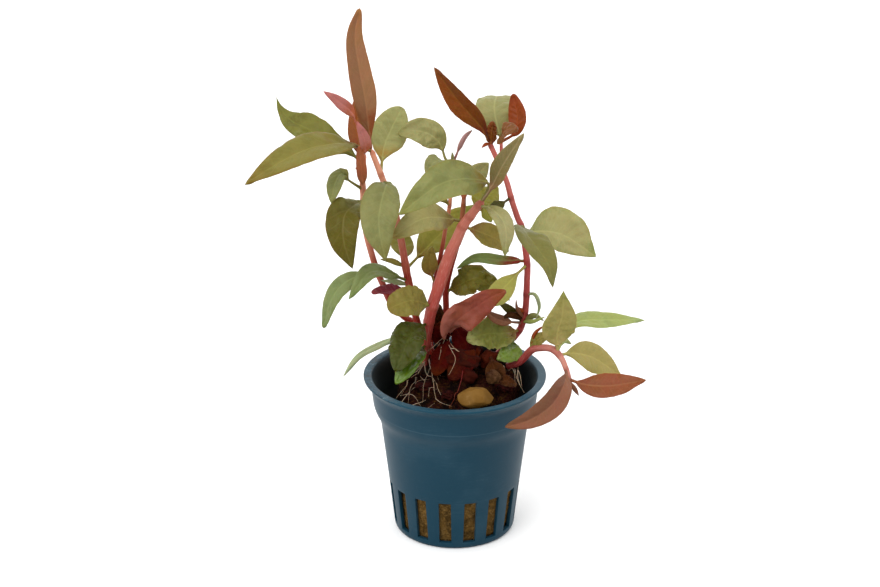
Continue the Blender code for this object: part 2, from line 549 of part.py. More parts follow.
def make_wool():
    """Make the stone wool plug: a taper that follows the wall, under a domed top."""
    shape = bmesh.new()
    inset = POT_WALL + GAP
    axis = (0.0, 0.0)
    rings = [ring_points(wall_radius(POT_FLOOR) - inset, axis, POT_FLOOR + GAP),
             ring_points(wall_radius(SLOT_TOP) - inset, axis, SLOT_TOP),
             ring_points(MOUND_RADIUS, MOUND_AXIS, STEP_HEIGHT),
             ring_points(MOUND_RADIUS, MOUND_AXIS, MOUND_SHOULDER)]
    for step in range(WOOL_RINGS):
        radius = MOUND_RADIUS * (1 - (step + 0.4) / (WOOL_RINGS + 0.4))
        rings.append(ring_points(radius, MOUND_AXIS, mound_height))
    loops = [[shape.verts.new(Vector(point) * MM) for point in ring] for ring in rings]
    for lower, upper in zip(loops, loops[1:]):
        for k in range(WOOL_SEGMENTS):
            after = (k + 1) % WOOL_SEGMENTS
            shape.faces.new((lower[k], lower[after], upper[after], upper[k]))
    shape.faces.new(loops[0])
    crown = shape.verts.new(Vector((*MOUND_AXIS, mound_height(*MOUND_AXIS))) * MM)
    for k in range(WOOL_SEGMENTS):
        shape.faces.new((loops[-1][k], loops[-1][(k + 1) % WOOL_SEGMENTS], crown))
    add_object("stone_wool", shape, WOOL_BROWN)


def make_lump(lump):
    """Make a lump: a ball with shallow dents, stretched to its size."""
    shape = bmesh.new()
    place = (Matrix.Translation(Vector(lump.centre) * MM)
             @ Matrix.Rotation(math.radians(lump.turn), 4, "Z")
             @ Matrix.Diagonal((*[side * MM / 2 for side in lump.size], 1)))
    bmesh.ops.create_icosphere(shape, subdivisions=2, radius=1.0)
    for corner in shape.verts:
        x, y, z = corner.co
        corner.co *= 1 - LUMP_DENT * (0.5 + 0.5 * math.sin(4 * x + 3 * y + 5 * z))
    bmesh.ops.transform(shape, matrix=place, verts=shape.verts)
    add_object(lump.name, shape, lump.finish)


def stem_points(stem):
    """Return a stem's middle line with its foot just above the stone wool."""
    points = [Vector(point) for point in stem.points]
    foot = points[0]
    foot.z = mound_height(foot.x, foot.y) + GAP + STEM_FOOT_LIFT * stem.diameters[0]
    return points


def stem_radius(stem, share):
    """Return a stem's radius at a share of its length: foot, middle and top by a parabola."""
    foot, middle, top = stem.diameters
    across = (foot * (1 - share) * (1 - 2 * share) + 4 * middle * share * (1 - share)
              + top * share * (2 * share - 1))
    return across / 2


def tube(points, radii, sides):
    """Return a closed tube along a line of points as a bmesh."""
    shape = bmesh.new()
    rings = []
    side = Vector((1, 0, 0))
    for point, along, radius in zip(points, tangents(points), radii):
        side = (side - side.dot(along) * along).normalized()
        other = along.cross(side)
        ring = []
        for k in range(sides):
            turn = 2 * math.pi * k / sides
            corner = point + radius * (math.cos(turn) * side + math.sin(turn) * other)
            ring.append(shape.verts.new(corner * MM))
        rings.append(ring)
    for lower, upper in zip(rings, rings[1:]):
        for k in range(sides):
            after = (k + 1) % sides
            shape.faces.new((lower[k], lower[after], upper[after], upper[k]))
    shape.faces.new(rings[0])
    shape.faces.new(rings[-1])
    return shape


def point_at_height(points, height, rising):
    """Return the point of a line at a height, and how far along the line it is.

    The last such point is meant, past the line's top, or the first where rising is set.
    """
    pairs = list(enumerate(zip(points, points[1:])))
    for index, (low, high) in pairs if rising else reversed(pairs):
        if min(low.z, high.z) <= height <= max(low.z, high.z):
            share = (height - low.z) / (high.z - low.z)
            return low.lerp(high, share), (index + share) / (len(points) - 1)
    return points[-1].copy(), 1.0


def leaf_root(leaf, line):
    """Return where a leaf leaves its stem's middle line, and how far along the line that is."""
    if leaf.foot:
        return Vector(leaf.foot), 1.0
    return point_at_height(line, leaf.height, leaf.rising)


def leaf_shape(leaf, start, rows):
    """Return a leaf as a closed bmesh: two halves folded along the midrib.

    start is the point on the stem's middle line, and the leaf begins leaf.start from it.
    """
    points = smooth_path([start] + [Vector(point) for point in leaf.through], 4 * rows)
    length = sum((b - a).length for a, b in zip(points, points[1:]))
    skip = min(int(round(4 * rows * leaf.start / length)), 2 * rows)
    points = resample(points[skip:], rows)
    along = tangents(points)
    face = Vector(leaf.face).normalized()
    tip_face = Vector(leaf.tip_face).normalized() if leaf.tip_face else face
    stalk = min(leaf.stalk / length, STALK_MOST)
    power = math.log(0.5) / math.log(leaf.belly)
    fold = math.radians(leaf.fold)
    shape = bmesh.new()
    upper, lower = [], []
    for row, (point, forward) in enumerate(zip(points, along)):
        share = row / rows
        blade = max(share - stalk, 0.0) / (1 - stalk)
        rise = min(blade / LEAF_BASE_REACH, 1.0)
        drawn = leaf.base + (leaf.point - leaf.base) * rise * rise * (3 - 2 * rise)
        swell = math.sin(math.pi * min(blade, LEAF_TIP) ** power) ** drawn if blade > 0 else 0.0
        half = max(leaf.width / 2 * swell, STALK_HALF_WIDTH * (1 - STALK_TAPER * share))
        looks = face.lerp(tip_face, share)
        normal = (looks - looks.dot(forward) * forward).normalized()
        across = forward.cross(normal)
        for side, line in ((1, upper), (-1, lower)):
            raised = normal * (side * LEAF_THICKNESS / 2)
            line.append([
                shape.verts.new((point + raised + across * (step * half * math.cos(fold))
                                 + normal * (abs(step) * half * math.sin(fold))) * MM)
                for step in (-1, 0, 1)])
    close_sheet(shape, upper, lower)
    return shape


def close_sheet(shape, upper, lower):
    """Join two grids of vertices that face each other into one closed body."""
    last = len(upper) - 1
    columns = len(upper[0]) - 1
    for row in range(last):
        for column in range(columns):
            corners = [(row, column), (row, column + 1), (row + 1, column + 1), (row + 1, column)]
            shape.faces.new([upper[r][c] for r, c in corners])
            shape.faces.new([lower[r][c] for r, c in reversed(corners)])
        for column in (0, columns):
            shape.faces.new((upper[row][column], upper[row + 1][column],
                             lower[row + 1][column], lower[row][column]))
    for row in (0, last):
        for column in range(columns):
            shape.faces.new((upper[row][column], upper[row][column + 1],
                             lower[row][column + 1], lower[row][column]))


def make_stem(stem):
    """Make a stem with its forks, young leaves and roots grown together."""
    points = stem_points(stem)
    length = sum((b - a).length for a, b in zip(points, points[1:]))
    count = max(STEM_RINGS_LEAST, int(length / STEM_RING_SPACING))
    line = smooth_path(points, count)
    radii = [stem_radius(stem, k / count) for k in range(count + 1)]
    body = add_object(stem.name, tube(line, radii, STEM_SIDES), stem.finish)
    grown = []
    for index, branch in enumerate(stem.branches):
        fork = smooth_path([Vector(point) for point in branch], len(FORK_RADII) - 1)
        shape = tube(fork, FORK_RADII, STEM_SIDES)
        grown.append(add_object(f"{stem.name}_fork_{index}", shape, stem.finish))
    for index, root in enumerate(stem.roots):
        lifted = [Vector((x, y, mound_height(x, y) + lift)) for x, y, lift in root]
        run = smooth_path(lifted, ROOT_RINGS)
        radii = [ROOT_RADIUS * (1 - ROOT_TAPER * k) for k in range(ROOT_RINGS + 1)]
        shape = tube(run, radii, ROOT_SIDES)
        grown.append(add_object(f"{stem.name}_root_{index}", shape, stem.finish))
    for leaf in YOUNG_LEAVES:
        if leaf.stem == stem.name:
            start, _ = leaf_root(leaf, line)
            shape = leaf_shape(leaf, start, SMALL_LEAF_ROWS)
            grown.append(add_object(leaf.name, shape, leaf.finish))
    if grown:
        boolean(body, "UNION", grown)
    return line


def make_leaf(leaf, stem, line):
    """Make a leaf whose stalk ends just clear of its stem."""
    start, share = leaf_root(leaf, line)
    clear = leaf.start or stem_radius(stem, share) + GAP + STALK_HALF_WIDTH
    shape = leaf_shape(replace(leaf, start=clear), start, LEAF_ROWS)
    add_object(leaf.name, shape, leaf.finish)


def main():
    """Build the pot, the stone wool, the stems and the leaves."""
    clear_scene()
    make_pot()
    make_wool()
    for lump in LUMPS:
        make_lump(lump)
    stems = {stem.name: stem for stem in STEMS}
    lines = {stem.name: make_stem(stem) for stem in STEMS}
    for leaf in LEAVES:
        make_leaf(leaf, stems[leaf.stem], lines[leaf.stem])


if __name__ == "__main__":
    main()
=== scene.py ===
"""Looks of a young Alternanthera reineckii that grows in stone wool in a 5 cm net pot.

World frame: the origin is the centre of the pot's flat underside, +Z is up, +X is to the
viewer's right and the viewer stands at -Y. The tables hold millimetres and degrees, which
become metres and radians where the meshes are made. Colours are written as they look on a
screen, from 0 to 255, and become linear where the materials are made.
"""

import functools
import logging
import math
from dataclasses import dataclass
from enum import Enum
from typing import Any, Optional, Sequence, Union

import bmesh
import bpy
from mathutils import Matrix, Vector, noise


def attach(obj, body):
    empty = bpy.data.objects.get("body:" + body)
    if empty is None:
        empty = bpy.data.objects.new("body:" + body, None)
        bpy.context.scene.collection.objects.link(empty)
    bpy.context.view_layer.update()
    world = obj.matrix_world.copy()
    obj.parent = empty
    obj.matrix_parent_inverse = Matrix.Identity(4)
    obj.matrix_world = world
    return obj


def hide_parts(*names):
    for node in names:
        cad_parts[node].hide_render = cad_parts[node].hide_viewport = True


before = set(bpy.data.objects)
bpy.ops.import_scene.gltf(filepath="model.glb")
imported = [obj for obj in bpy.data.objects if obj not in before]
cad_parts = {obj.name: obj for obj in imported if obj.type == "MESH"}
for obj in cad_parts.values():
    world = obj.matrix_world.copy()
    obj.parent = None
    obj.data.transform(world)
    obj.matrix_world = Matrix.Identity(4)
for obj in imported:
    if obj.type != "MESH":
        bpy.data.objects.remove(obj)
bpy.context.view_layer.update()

LOG = logging.getLogger("alternanthera")
MM = 0.001
SCREEN_WHITE = 255.0
SHEEN = 0.024
LIGHT = 1.3
DARKEST = 0.0015
LEAF_RELIEF = 0.22
STEM_RELIEF = 0.12
LEAF_IOR = 1.45
STEM_SHINE = 0.25
EARTH_SHINE = 0.06
LEAF_DEPTH = 0.0006
WET_ROUGHNESS = 0.12
Colour = tuple[float, float, float]


class Tree(Enum):
    """The two kinds of node tree."""

    SHAPE = "GeometryNodeTree"
    SHADE = "ShaderNodeTree"


class Kind(Enum):
    """The kinds of value that a node group takes and gives."""

    NUMBER = "NodeSocketFloat"
    COUNT = "NodeSocketInt"
    VECTOR = "NodeSocketVector"
    COLOUR = "NodeSocketColor"
    SHAPE = "NodeSocketGeometry"
    MATERIAL = "NodeSocketMaterial"


class Term:
    """One value inside a node tree, joined to others by plain arithmetic signs."""

    def __init__(self, web: "Web", socket: bpy.types.NodeSocket) -> None:
        """Keep the tree and the socket that gives the value."""
        self.web = web
        self.socket = socket

    @property
    def is_vector(self) -> bool:
        """Whether the value is a vector."""
        return self.socket.type == "VECTOR"

    def __add__(self, other: "Value") -> "Term":
        """Return the sum."""
        return self.web.join("ADD", self, other)

    __radd__ = __add__

    def __sub__(self, other: "Value") -> "Term":
        """Return the difference."""
        return self.web.join("SUBTRACT", self, other)

    def __rsub__(self, other: "Value") -> "Term":
        """Return the difference the other way round."""
        return self.web.join("SUBTRACT", other, self)

    def __mul__(self, other: "Value") -> "Term":
        """Return the product, or the vector scaled by a number."""
        return self.web.join("MULTIPLY", self, other)

    __rmul__ = __mul__

    def __truediv__(self, other: "Value") -> "Term":
        """Return the quotient."""
        return self.web.join("DIVIDE", self, other)

    def __pow__(self, other: "Value") -> "Term":
        """Return the power."""
        return self.web.math("POWER", self, other)


Value = Union[float, int, str, bool, Sequence[float], Term]


class Web:
    """A node tree and a short way to fill it."""

    def __init__(self, tree: bpy.types.NodeTree) -> None:
        """Keep the tree."""
        self.tree = tree
        self.source: Optional[bpy.types.Node] = None
        self.sink: Optional[bpy.types.Node] = None

    @classmethod
    def group(cls, name: str, kind: Tree) -> "Web":
        """Start an empty node group.

        Args:
            name: The group's name.
            kind: Geometry or shader.

        Returns:
            The web of the new group.
        """
        web = cls(bpy.data.node_groups.new(name, kind.value))
        web.source = web.tree.nodes.new("NodeGroupInput")
        web.sink = web.tree.nodes.new("NodeGroupOutput")
        return web

    def takes(self, name: str, kind: Kind = Kind.NUMBER, default: Any = None) -> Term:
        """Add a named input to the group.

        Args:
            name: The input's name.
            kind: What it takes.
            default: Its value where nothing is given.

        Returns:
            The input as a value.
        """
        item = self.tree.interface.new_socket(name, in_out="INPUT", socket_type=kind.value)
        if default is not None:
            item.default_value = default
        return Term(self, self.source.outputs[name])

    def gives(self, name: str, value: Term, kind: Kind = Kind.NUMBER) -> None:
        """Add a named output to the group and feed it."""
        self.tree.interface.new_socket(name, in_out="OUTPUT", socket_type=kind.value)
        self.wire(value, self.sink.inputs[name])

    def wire(self, value: Any, socket: bpy.types.NodeSocket) -> None:
        """Feed a socket with another node's value, or set it."""
        if isinstance(value, Term):
            self.tree.links.new(value.socket, socket)
        else:
            socket.default_value = value

    def node(self, kind: str, wires: Optional[dict] = None, **settings: Any) -> bpy.types.Node:
        """Add a node.

        Args:
            kind: The node's type in Blender.
            wires: What feeds its inputs, by name or place.
            settings: Its own options.

        Returns:
            The node.
        """
        made = self.tree.nodes.new(kind)
        for key, value in settings.items():
            setattr(made, key, value)
        for key, value in (wires or {}).items():
            self.wire(value, made.inputs[key])
        return made

    def out(self, kind: str, wires: Optional[dict] = None, give: Union[int, str] = 0,
            **settings: Any) -> Term:
        """Add a node and return one of its outputs, chosen by give."""
        return Term(self, self.node(kind, wires, **settings).outputs[give])

    def math(self, operation: str, *values: Value) -> Term:
        """Return the result of a Math node."""
        return self.out("ShaderNodeMath", dict(enumerate(values)), operation=operation)

    def join(self, operation: str, first: Value, second: Value) -> Term:
        """Join two values, as vectors where either is one.

        Args:
            operation: ADD, SUBTRACT, MULTIPLY or DIVIDE.
            first: The left value.
            second: The right value.

        Returns:
            The result.
        """
        vectors = [isinstance(value, Term) and value.is_vector or isinstance(value, tuple)
                   for value in (first, second)]
        if not any(vectors):
            return self.math(operation, first, second)
        if all(vectors):
            return self.vector(operation, first, second)
        long, short = (first, second) if vectors[0] else (second, first)
        return self.out("ShaderNodeVectorMath", {"Vector": long, "Scale": short}, operation="SCALE")

    def vector(self, operation: str, first: Value, second: Value = (0, 0, 0)) -> Term:
        """Return the result of a Vector Math node, a number for a dot product or a length."""
        give = "Value" if operation in ("DOT_PRODUCT", "LENGTH", "DISTANCE") else "Vector"
        return self.out("ShaderNodeVectorMath", {0: first, 1: second}, give, operation=operation)

    def place(self, x: Value, y: Value, z: Value) -> Term:
        """Return a vector from its three parts."""
        return self.out("ShaderNodeCombineXYZ", {0: x, 1: y, 2: z})

    def parts(self, vector: Term) -> tuple[Term, Term, Term]:
        """Return the three parts of a vector."""
        node = self.node("ShaderNodeSeparateXYZ", {0: vector})
        return tuple(Term(self, socket) for socket in node.outputs)

    def rise(self, value: Value, low: Value, high: Value, start: Value = 0.0, end: Value = 1.0) -> Term:
        """Return a smooth step from start to end as the value goes from low to high."""
        return self.out("ShaderNodeMapRange", {0: value, 1: low, 2: high, 3: start, 4: end},
                        interpolation_type="SMOOTHSTEP")

    def noise(self, where: Term, scale: Value, detail: float = 2.0, roughness: float = 0.5) -> Term:
        """Return a noise from 0 to 1 at a place."""
        wires = {"Vector": where, "Scale": scale, "Detail": detail, "Roughness": roughness}
        return self.out("ShaderNodeTexNoise", wires)

    def blend(self, share: Value, first: Value, second: Value, way: str = "MIX") -> Term:
        """Return two colours mixed.

        Args:
            share: How much of the second, from 0 to 1.
            first: The first colour.
            second: The second colour.
            way: Blender's name of the way they mix.

        Returns:
            The mixed colour.
        """
        return self.out("ShaderNodeMix", {0: share, 6: first, 7: second}, 2,
                        data_type="RGBA", blend_type=way)

    def named(self, name: str, data_type: str = "FLOAT") -> Term:
        """Return a named attribute in a geometry tree."""
        return self.out("GeometryNodeInputNamedAttribute", {"Name": name}, data_type=data_type)

    def read(self, name: str) -> Term:
        """Return a named attribute's number in a shader tree."""
        return self.out("ShaderNodeAttribute", give="Fac", attribute_name=name)

    def keep(self, shape: Term, name: str, value: Term, domain: str = "POINT") -> Term:
        """Store a number on a geometry under a name and return the geometry."""
        return self.out("GeometryNodeStoreNamedAttribute",
                        {"Geometry": shape, "Name": name, "Value": value}, domain=domain)


def screen(red: float, green: float, blue: float) -> tuple[float, float, float, float]:
    """Turn a colour as it looks on a screen into the paint that looks so in this studio.

    The pale room lays a thin sheen on every surface and lights it more than fully, so both
    are taken out.

    Args:
        red: The red level, from 0 to 255.
        green: The green level.
        blue: The blue level.

    Returns:
        The linear colour with full alpha.
    """
    def paint(level: float) -> float:
        """Return one channel of the paint."""
        share = level / SCREEN_WHITE
        linear = share / 12.92 if share <= 0.04045 else ((share + 0.055) / 1.055) ** 2.4
        return max((linear - SHEEN) / LIGHT, DARKEST)
    return (paint(red), paint(green), paint(blue), 1.0)


def tinted(colour: Colour, share: float) -> Colour:
    """Return a colour made lighter or darker by a share."""
    return tuple(min(level * share, SCREEN_WHITE) for level in colour)


def object_place(web: Web) -> Term:
    """Return the place on the object that a pattern is laid by, in metres."""
    return web.out("ShaderNodeTexCoord", give="Object")


def tone(web: Web, colour: Term, value: Value, hue: Value = 0.5, saturation: Value = 1.0) -> Term:
    """Return a colour with its brightness, hue and saturation changed."""
    return web.out("ShaderNodeHueSaturation",
                   {"Color": colour, "Value": value, "Hue": hue, "Saturation": saturation})


@functools.cache
def leaf_skin() -> bpy.types.NodeTree:
    """Build the shader group for leaves: zones, patches, veins, a fine net and painted shade on one half.

    Returns:
        The group. It reads how far along and across the blade a place is.
    """
    web = Web.group("leaf_skin", Tree.SHADE)
    blade, foot, tip, blotch, vein, under = (
        web.takes(name, Kind.COLOUR) for name in ("Blade", "Foot", "Tip", "Blotch", "Vein", "Under"))
    foot_reach = web.takes("Foot Reach", default=0.3)
    tip_from = web.takes("Tip From", default=0.7)
    blotches = web.takes("Blotches", default=0.4)
    edge = web.takes("Edge", default=0.3)
    shade = web.takes("Shade", default=0.0)
    rough = web.takes("Rough", default=0.5)
    along, across, half, side = (web.read(name) for name in ("along", "across", "half", "side"))

    where = object_place(web)
    spread = web.math("ABSOLUTE", across)
    cloud = web.noise(where, 190.0, 3.0)
    grain = web.noise(where, 1300.0, 4.0, 0.6)
    speck = web.noise(where, 5200.0, 2.0)
    drift = along + (cloud - 0.5) * 0.45
    colour = web.blend(web.rise(drift, 0.0, foot_reach), foot, blade)
    colour = web.blend(web.rise(drift, tip_from, 1.05), colour, tip)
    patch = web.rise(cloud + (grain - 0.5) * 0.4, 0.46, 0.66) * blotches
    colour = web.blend(patch, colour, blotch)
    rim = web.rise(spread + (grain - 0.5) * 0.4, 0.72, 1.04) * edge
    colour = web.blend(rim, colour, tip)

    offset = web.math("GREATER_THAN", across, 0.0) * 0.5
    phase = along * 9.0 - spread * 1.7 + spread * spread * 0.5 + offset + (cloud - 0.5) * 0.6
    between = web.math("PINGPONG", phase, 0.5)
    branch = web.rise(between, 0.11, 0.0) * web.rise(spread, 1.0, 0.6)
    near = across * half / 0.00024
    midrib = web.math("EXPONENT", near * near * -1.0) * (1.0 - along * 0.55)
    cells = web.out("ShaderNodeTexVoronoi", {"Vector": where, "Scale": 1100.0}, "Distance",
                    feature="DISTANCE_TO_EDGE")
    net = web.rise(cells, 0.09, 0.0)
    drawn = web.math("MAXIMUM", midrib * 0.5, branch * 0.16)
    drawn = web.math("MAXIMUM", drawn, net * 0.08)
    colour = web.blend(drawn, colour, vein)
    colour = web.blend((1.0 - side) * 0.55, colour, under)
    light = 0.86 + cloud * 0.16 + grain * 0.12
    light = light + between * 0.08 + (speck - 0.5) * 0.08
    # Painted shade: the Shade input darkens one half of the blade and lightens the other, for the light on a folded
    # leaf.
    light = light * (1.0 + shade * (web.rise(across, -0.1, 0.1) - 0.5))
    colour = tone(web, colour, light, 0.5 + (cloud - 0.5) * 0.03)

    web.gives("Colour", colour, Kind.COLOUR)
    web.gives("Roughness", rough + (grain - 0.5) * 0.22 - midrib * 0.06)
    ridge = midrib * (1.0 - side * 1.6)
    height = between * 0.9 * (1.0 - spread) + ridge * 0.8 - net * 0.12 + grain * 0.3 + speck * 0.08
    web.gives("Height", height)
    return web.tree


@functools.cache
def stem_skin() -> bpy.types.NodeTree:
    """Build the shader group for stems and roots: two ends, pale streaks of partly painted highlight, and nodes.

    Returns:
        The group. It reads how far along and around the stem a place is.
    """
    web = Web.group("stem_skin", Tree.SHADE)
    low, high, streak, node = (web.takes(name, Kind.COLOUR) for name in ("Low", "High", "Streak", "Node"))
    change = web.takes("Change", default=0.5)
    streaks = web.takes("Streaks", default=0.5)
    rough = web.takes("Rough", default=0.42)
    along, around, nodal = (web.read(name) for name in ("along", "around", "nodal"))

    where = object_place(web)
    turn = around * math.tau
    bark = web.place(web.math("COSINE", turn) * 1.6, web.math("SINE", turn) * 1.6, along * 9.0)
    cloud = web.noise(where, 160.0, 3.0)
    fine = web.noise(bark, 2.6, 4.0, 0.65)
    speck = web.noise(where, 3800.0, 3.0)
    colour = web.blend(web.rise(along + (cloud - 0.5) * 0.3, change - 0.3, change + 0.3), low, high)
    # Pale streaks along the stem: partly its own lines and partly painted highlight.
    colour = web.blend(web.rise(fine, 0.48, 0.7) * streaks, colour, streak)
    colour = web.blend(web.rise(nodal, 0.25, 1.0) * 0.5, colour, node)
    colour = tone(web, colour, 0.84 + cloud * 0.2 + speck * 0.12)
    web.gives("Colour", colour, Kind.COLOUR)
    web.gives("Roughness", rough + (fine - 0.5) * 0.25)
    web.gives("Height", fine * 0.8 + speck * 0.3)
    return web.tree


@functools.cache
def weathered() -> bpy.types.NodeTree:
    """Build the shader group that puts grime, scratches and pores on a base colour.

    Returns:
        The group.
    """
    web = Web.group("weathered", Tree.SHADE)
    base = web.takes("Base", Kind.COLOUR)
    grime = web.takes("Grime", Kind.COLOUR)
    pale = web.takes("Pale", Kind.COLOUR)
    size = web.takes("Size", default=300.0)
    dirt = web.takes("Dirt", default=0.4)
    wear = web.takes("Wear", default=0.3)
    rough = web.takes("Rough", default=0.6)
    where = object_place(web)
    broad = web.noise(where, size, 4.0, 0.55)
    fine = web.noise(where, size * 6.0, 4.0, 0.65)
    colour = web.blend(web.rise(broad + (fine - 0.5) * 0.5, 0.42, 0.7) * dirt, base, grime)
    colour = web.blend(web.rise(fine + (0.5 - broad) * 0.4, 0.56, 0.74) * wear, colour, pale)
    colour = tone(web, colour, 0.82 + fine * 0.36)
    web.gives("Colour", colour, Kind.COLOUR)
    web.gives("Roughness", rough + (fine - 0.5) * 0.3)
    web.gives("Height", broad * 0.7 + fine * 0.5)
    return web.tree


def new_material(name: str) -> tuple[bpy.types.Material, Web, bpy.types.Node]:
    """Start a material.

    Args:
        name: The material's name.

    Returns:
        The material, the web of its nodes and its one shader.
    """
    made = bpy.data.materials.new(name)
    made.use_nodes = True
    return made, Web(made.node_tree), made.node_tree.nodes["Principled BSDF"]


def dress(web: Web, shader: bpy.types.Node, skin: bpy.types.Node, relief: float, **constants: Any) -> None:
    """Feed a shader from a skin group and set its constants.

    Args:
        web: The web of the material's nodes.
        shader: The material's shader.
        skin: The group node that gives colour, roughness and height.
        relief: The height of the bumps, in millimetres.
        constants: The shader's plain values, with underscores for spaces.
    """
    web.wire(Term(web, skin.outputs["Colour"]), shader.inputs["Base Color"])
    web.wire(Term(web, skin.outputs["Roughness"]), shader.inputs["Roughness"])
    height = Term(web, skin.outputs["Height"])
    bump = web.out("ShaderNodeBump", {"Height": height, "Distance": relief * MM, "Strength": 0.6})
    web.wire(bump, shader.inputs["Normal"])
    for name, value in constants.items():
        shader.inputs[name.replace("_", " ")].default_value = value


@dataclass(frozen=True)
class LeafPaint:
    """The colours of one kind of leaf.

    foot_reach and tip_from are shares of the blade, blotches and edge say how strong the
    patches and the margin's other colour are, glow is how much light passes through,
    wet is a film of water and shine is the skin's own gloss, and shade is a painted shade:
    how much darker the left half is than the right one, as on a folded leaf in side light.
    """

    name: str
    slot: str
    blade: Colour
    foot: Colour
    tip: Colour
    blotch: Optional[Colour] = None
    vein: Optional[Colour] = None
    under: Optional[Colour] = None
    foot_reach: float = 0.35
    tip_from: float = 0.7
    blotches: float = 0.45
    edge: float = 0.3
    rough: float = 0.44
    glow: float = 0.12
    wet: float = 0.0
    shine: float = 0.22
    shade: float = 0.0

    @functools.cache
    def material(self) -> bpy.types.Material:
        """Make the material the first time that it is asked for."""
        made, web, shader = new_material(self.name)
        skin = web.node("ShaderNodeGroup", {
            "Blade": screen(*self.blade), "Foot": screen(*self.foot), "Tip": screen(*self.tip),
            "Blotch": screen(*(self.blotch or tinted(self.blade, 0.82))),
            "Vein": screen(*(self.vein or tinted(self.blade, 1.2))),
            "Under": screen(*(self.under or tinted(self.blade, 1.08))),
            "Foot Reach": self.foot_reach, "Tip From": self.tip_from, "Blotches": self.blotches,
            "Edge": self.edge, "Rough": self.rough, "Shade": self.shade}, node_tree=leaf_skin())
        dress(web, shader, skin, LEAF_RELIEF, IOR=LEAF_IOR, Coat_Weight=self.wet, Coat_Roughness=WET_ROUGHNESS,
              Subsurface_Weight=self.glow, Subsurface_Scale=LEAF_DEPTH, Specular_IOR_Level=self.shine)
        return made


@dataclass(frozen=True)
class StemPaint:
    """The colours of a stem or of roots. change is where low gives way to high; streak is partly painted highlight.
    """

    name: str
    slot: str
    low: Colour
    high: Colour
    streak: Colour
    node: Colour
    change: float = 0.5
    streaks: float = 0.5
    rough: float = 0.42
    glow: float = 0.15

    @functools.cache
    def material(self) -> bpy.types.Material:
        """Make the material the first time that it is asked for."""
        made, web, shader = new_material(self.name)
        skin = web.node("ShaderNodeGroup", {
            "Low": screen(*self.low), "High": screen(*self.high), "Streak": screen(*self.streak),
            "Node": screen(*self.node), "Change": self.change, "Streaks": self.streaks,
            "Rough": self.rough}, node_tree=stem_skin())
        dress(web, shader, skin, STEM_RELIEF, IOR=LEAF_IOR, Subsurface_Weight=self.glow,
              Subsurface_Scale=LEAF_DEPTH, Specular_IOR_Level=STEM_SHINE)
        return made


@dataclass(frozen=True)
class EarthPaint:
    """The colours of a pebble or a dead leaf. size is the pattern's scale per metre."""

    name: str
    base: Colour
    grime: Colour
    pale: Colour
    size: float = 300.0
    dirt: float = 0.5
    wear: float = 0.3
    rough: float = 0.6
    relief: float = 0.15

    @functools.cache
    def material(self) -> bpy.types.Material:
        """Make the material the first time that it is asked for."""
        made, web, shader = new_material(self.name)
        skin = web.node("ShaderNodeGroup", {
            "Base": screen(*self.base), "Grime": screen(*self.grime), "Pale": screen(*self.pale),
            "Size": self.size, "Dirt": self.dirt, "Wear": self.wear, "Rough": self.rough},
            node_tree=weathered())
        dress(web, shader, skin, self.relief, IOR=LEAF_IOR, Specular_IOR_Level=EARTH_SHINE)
        return made


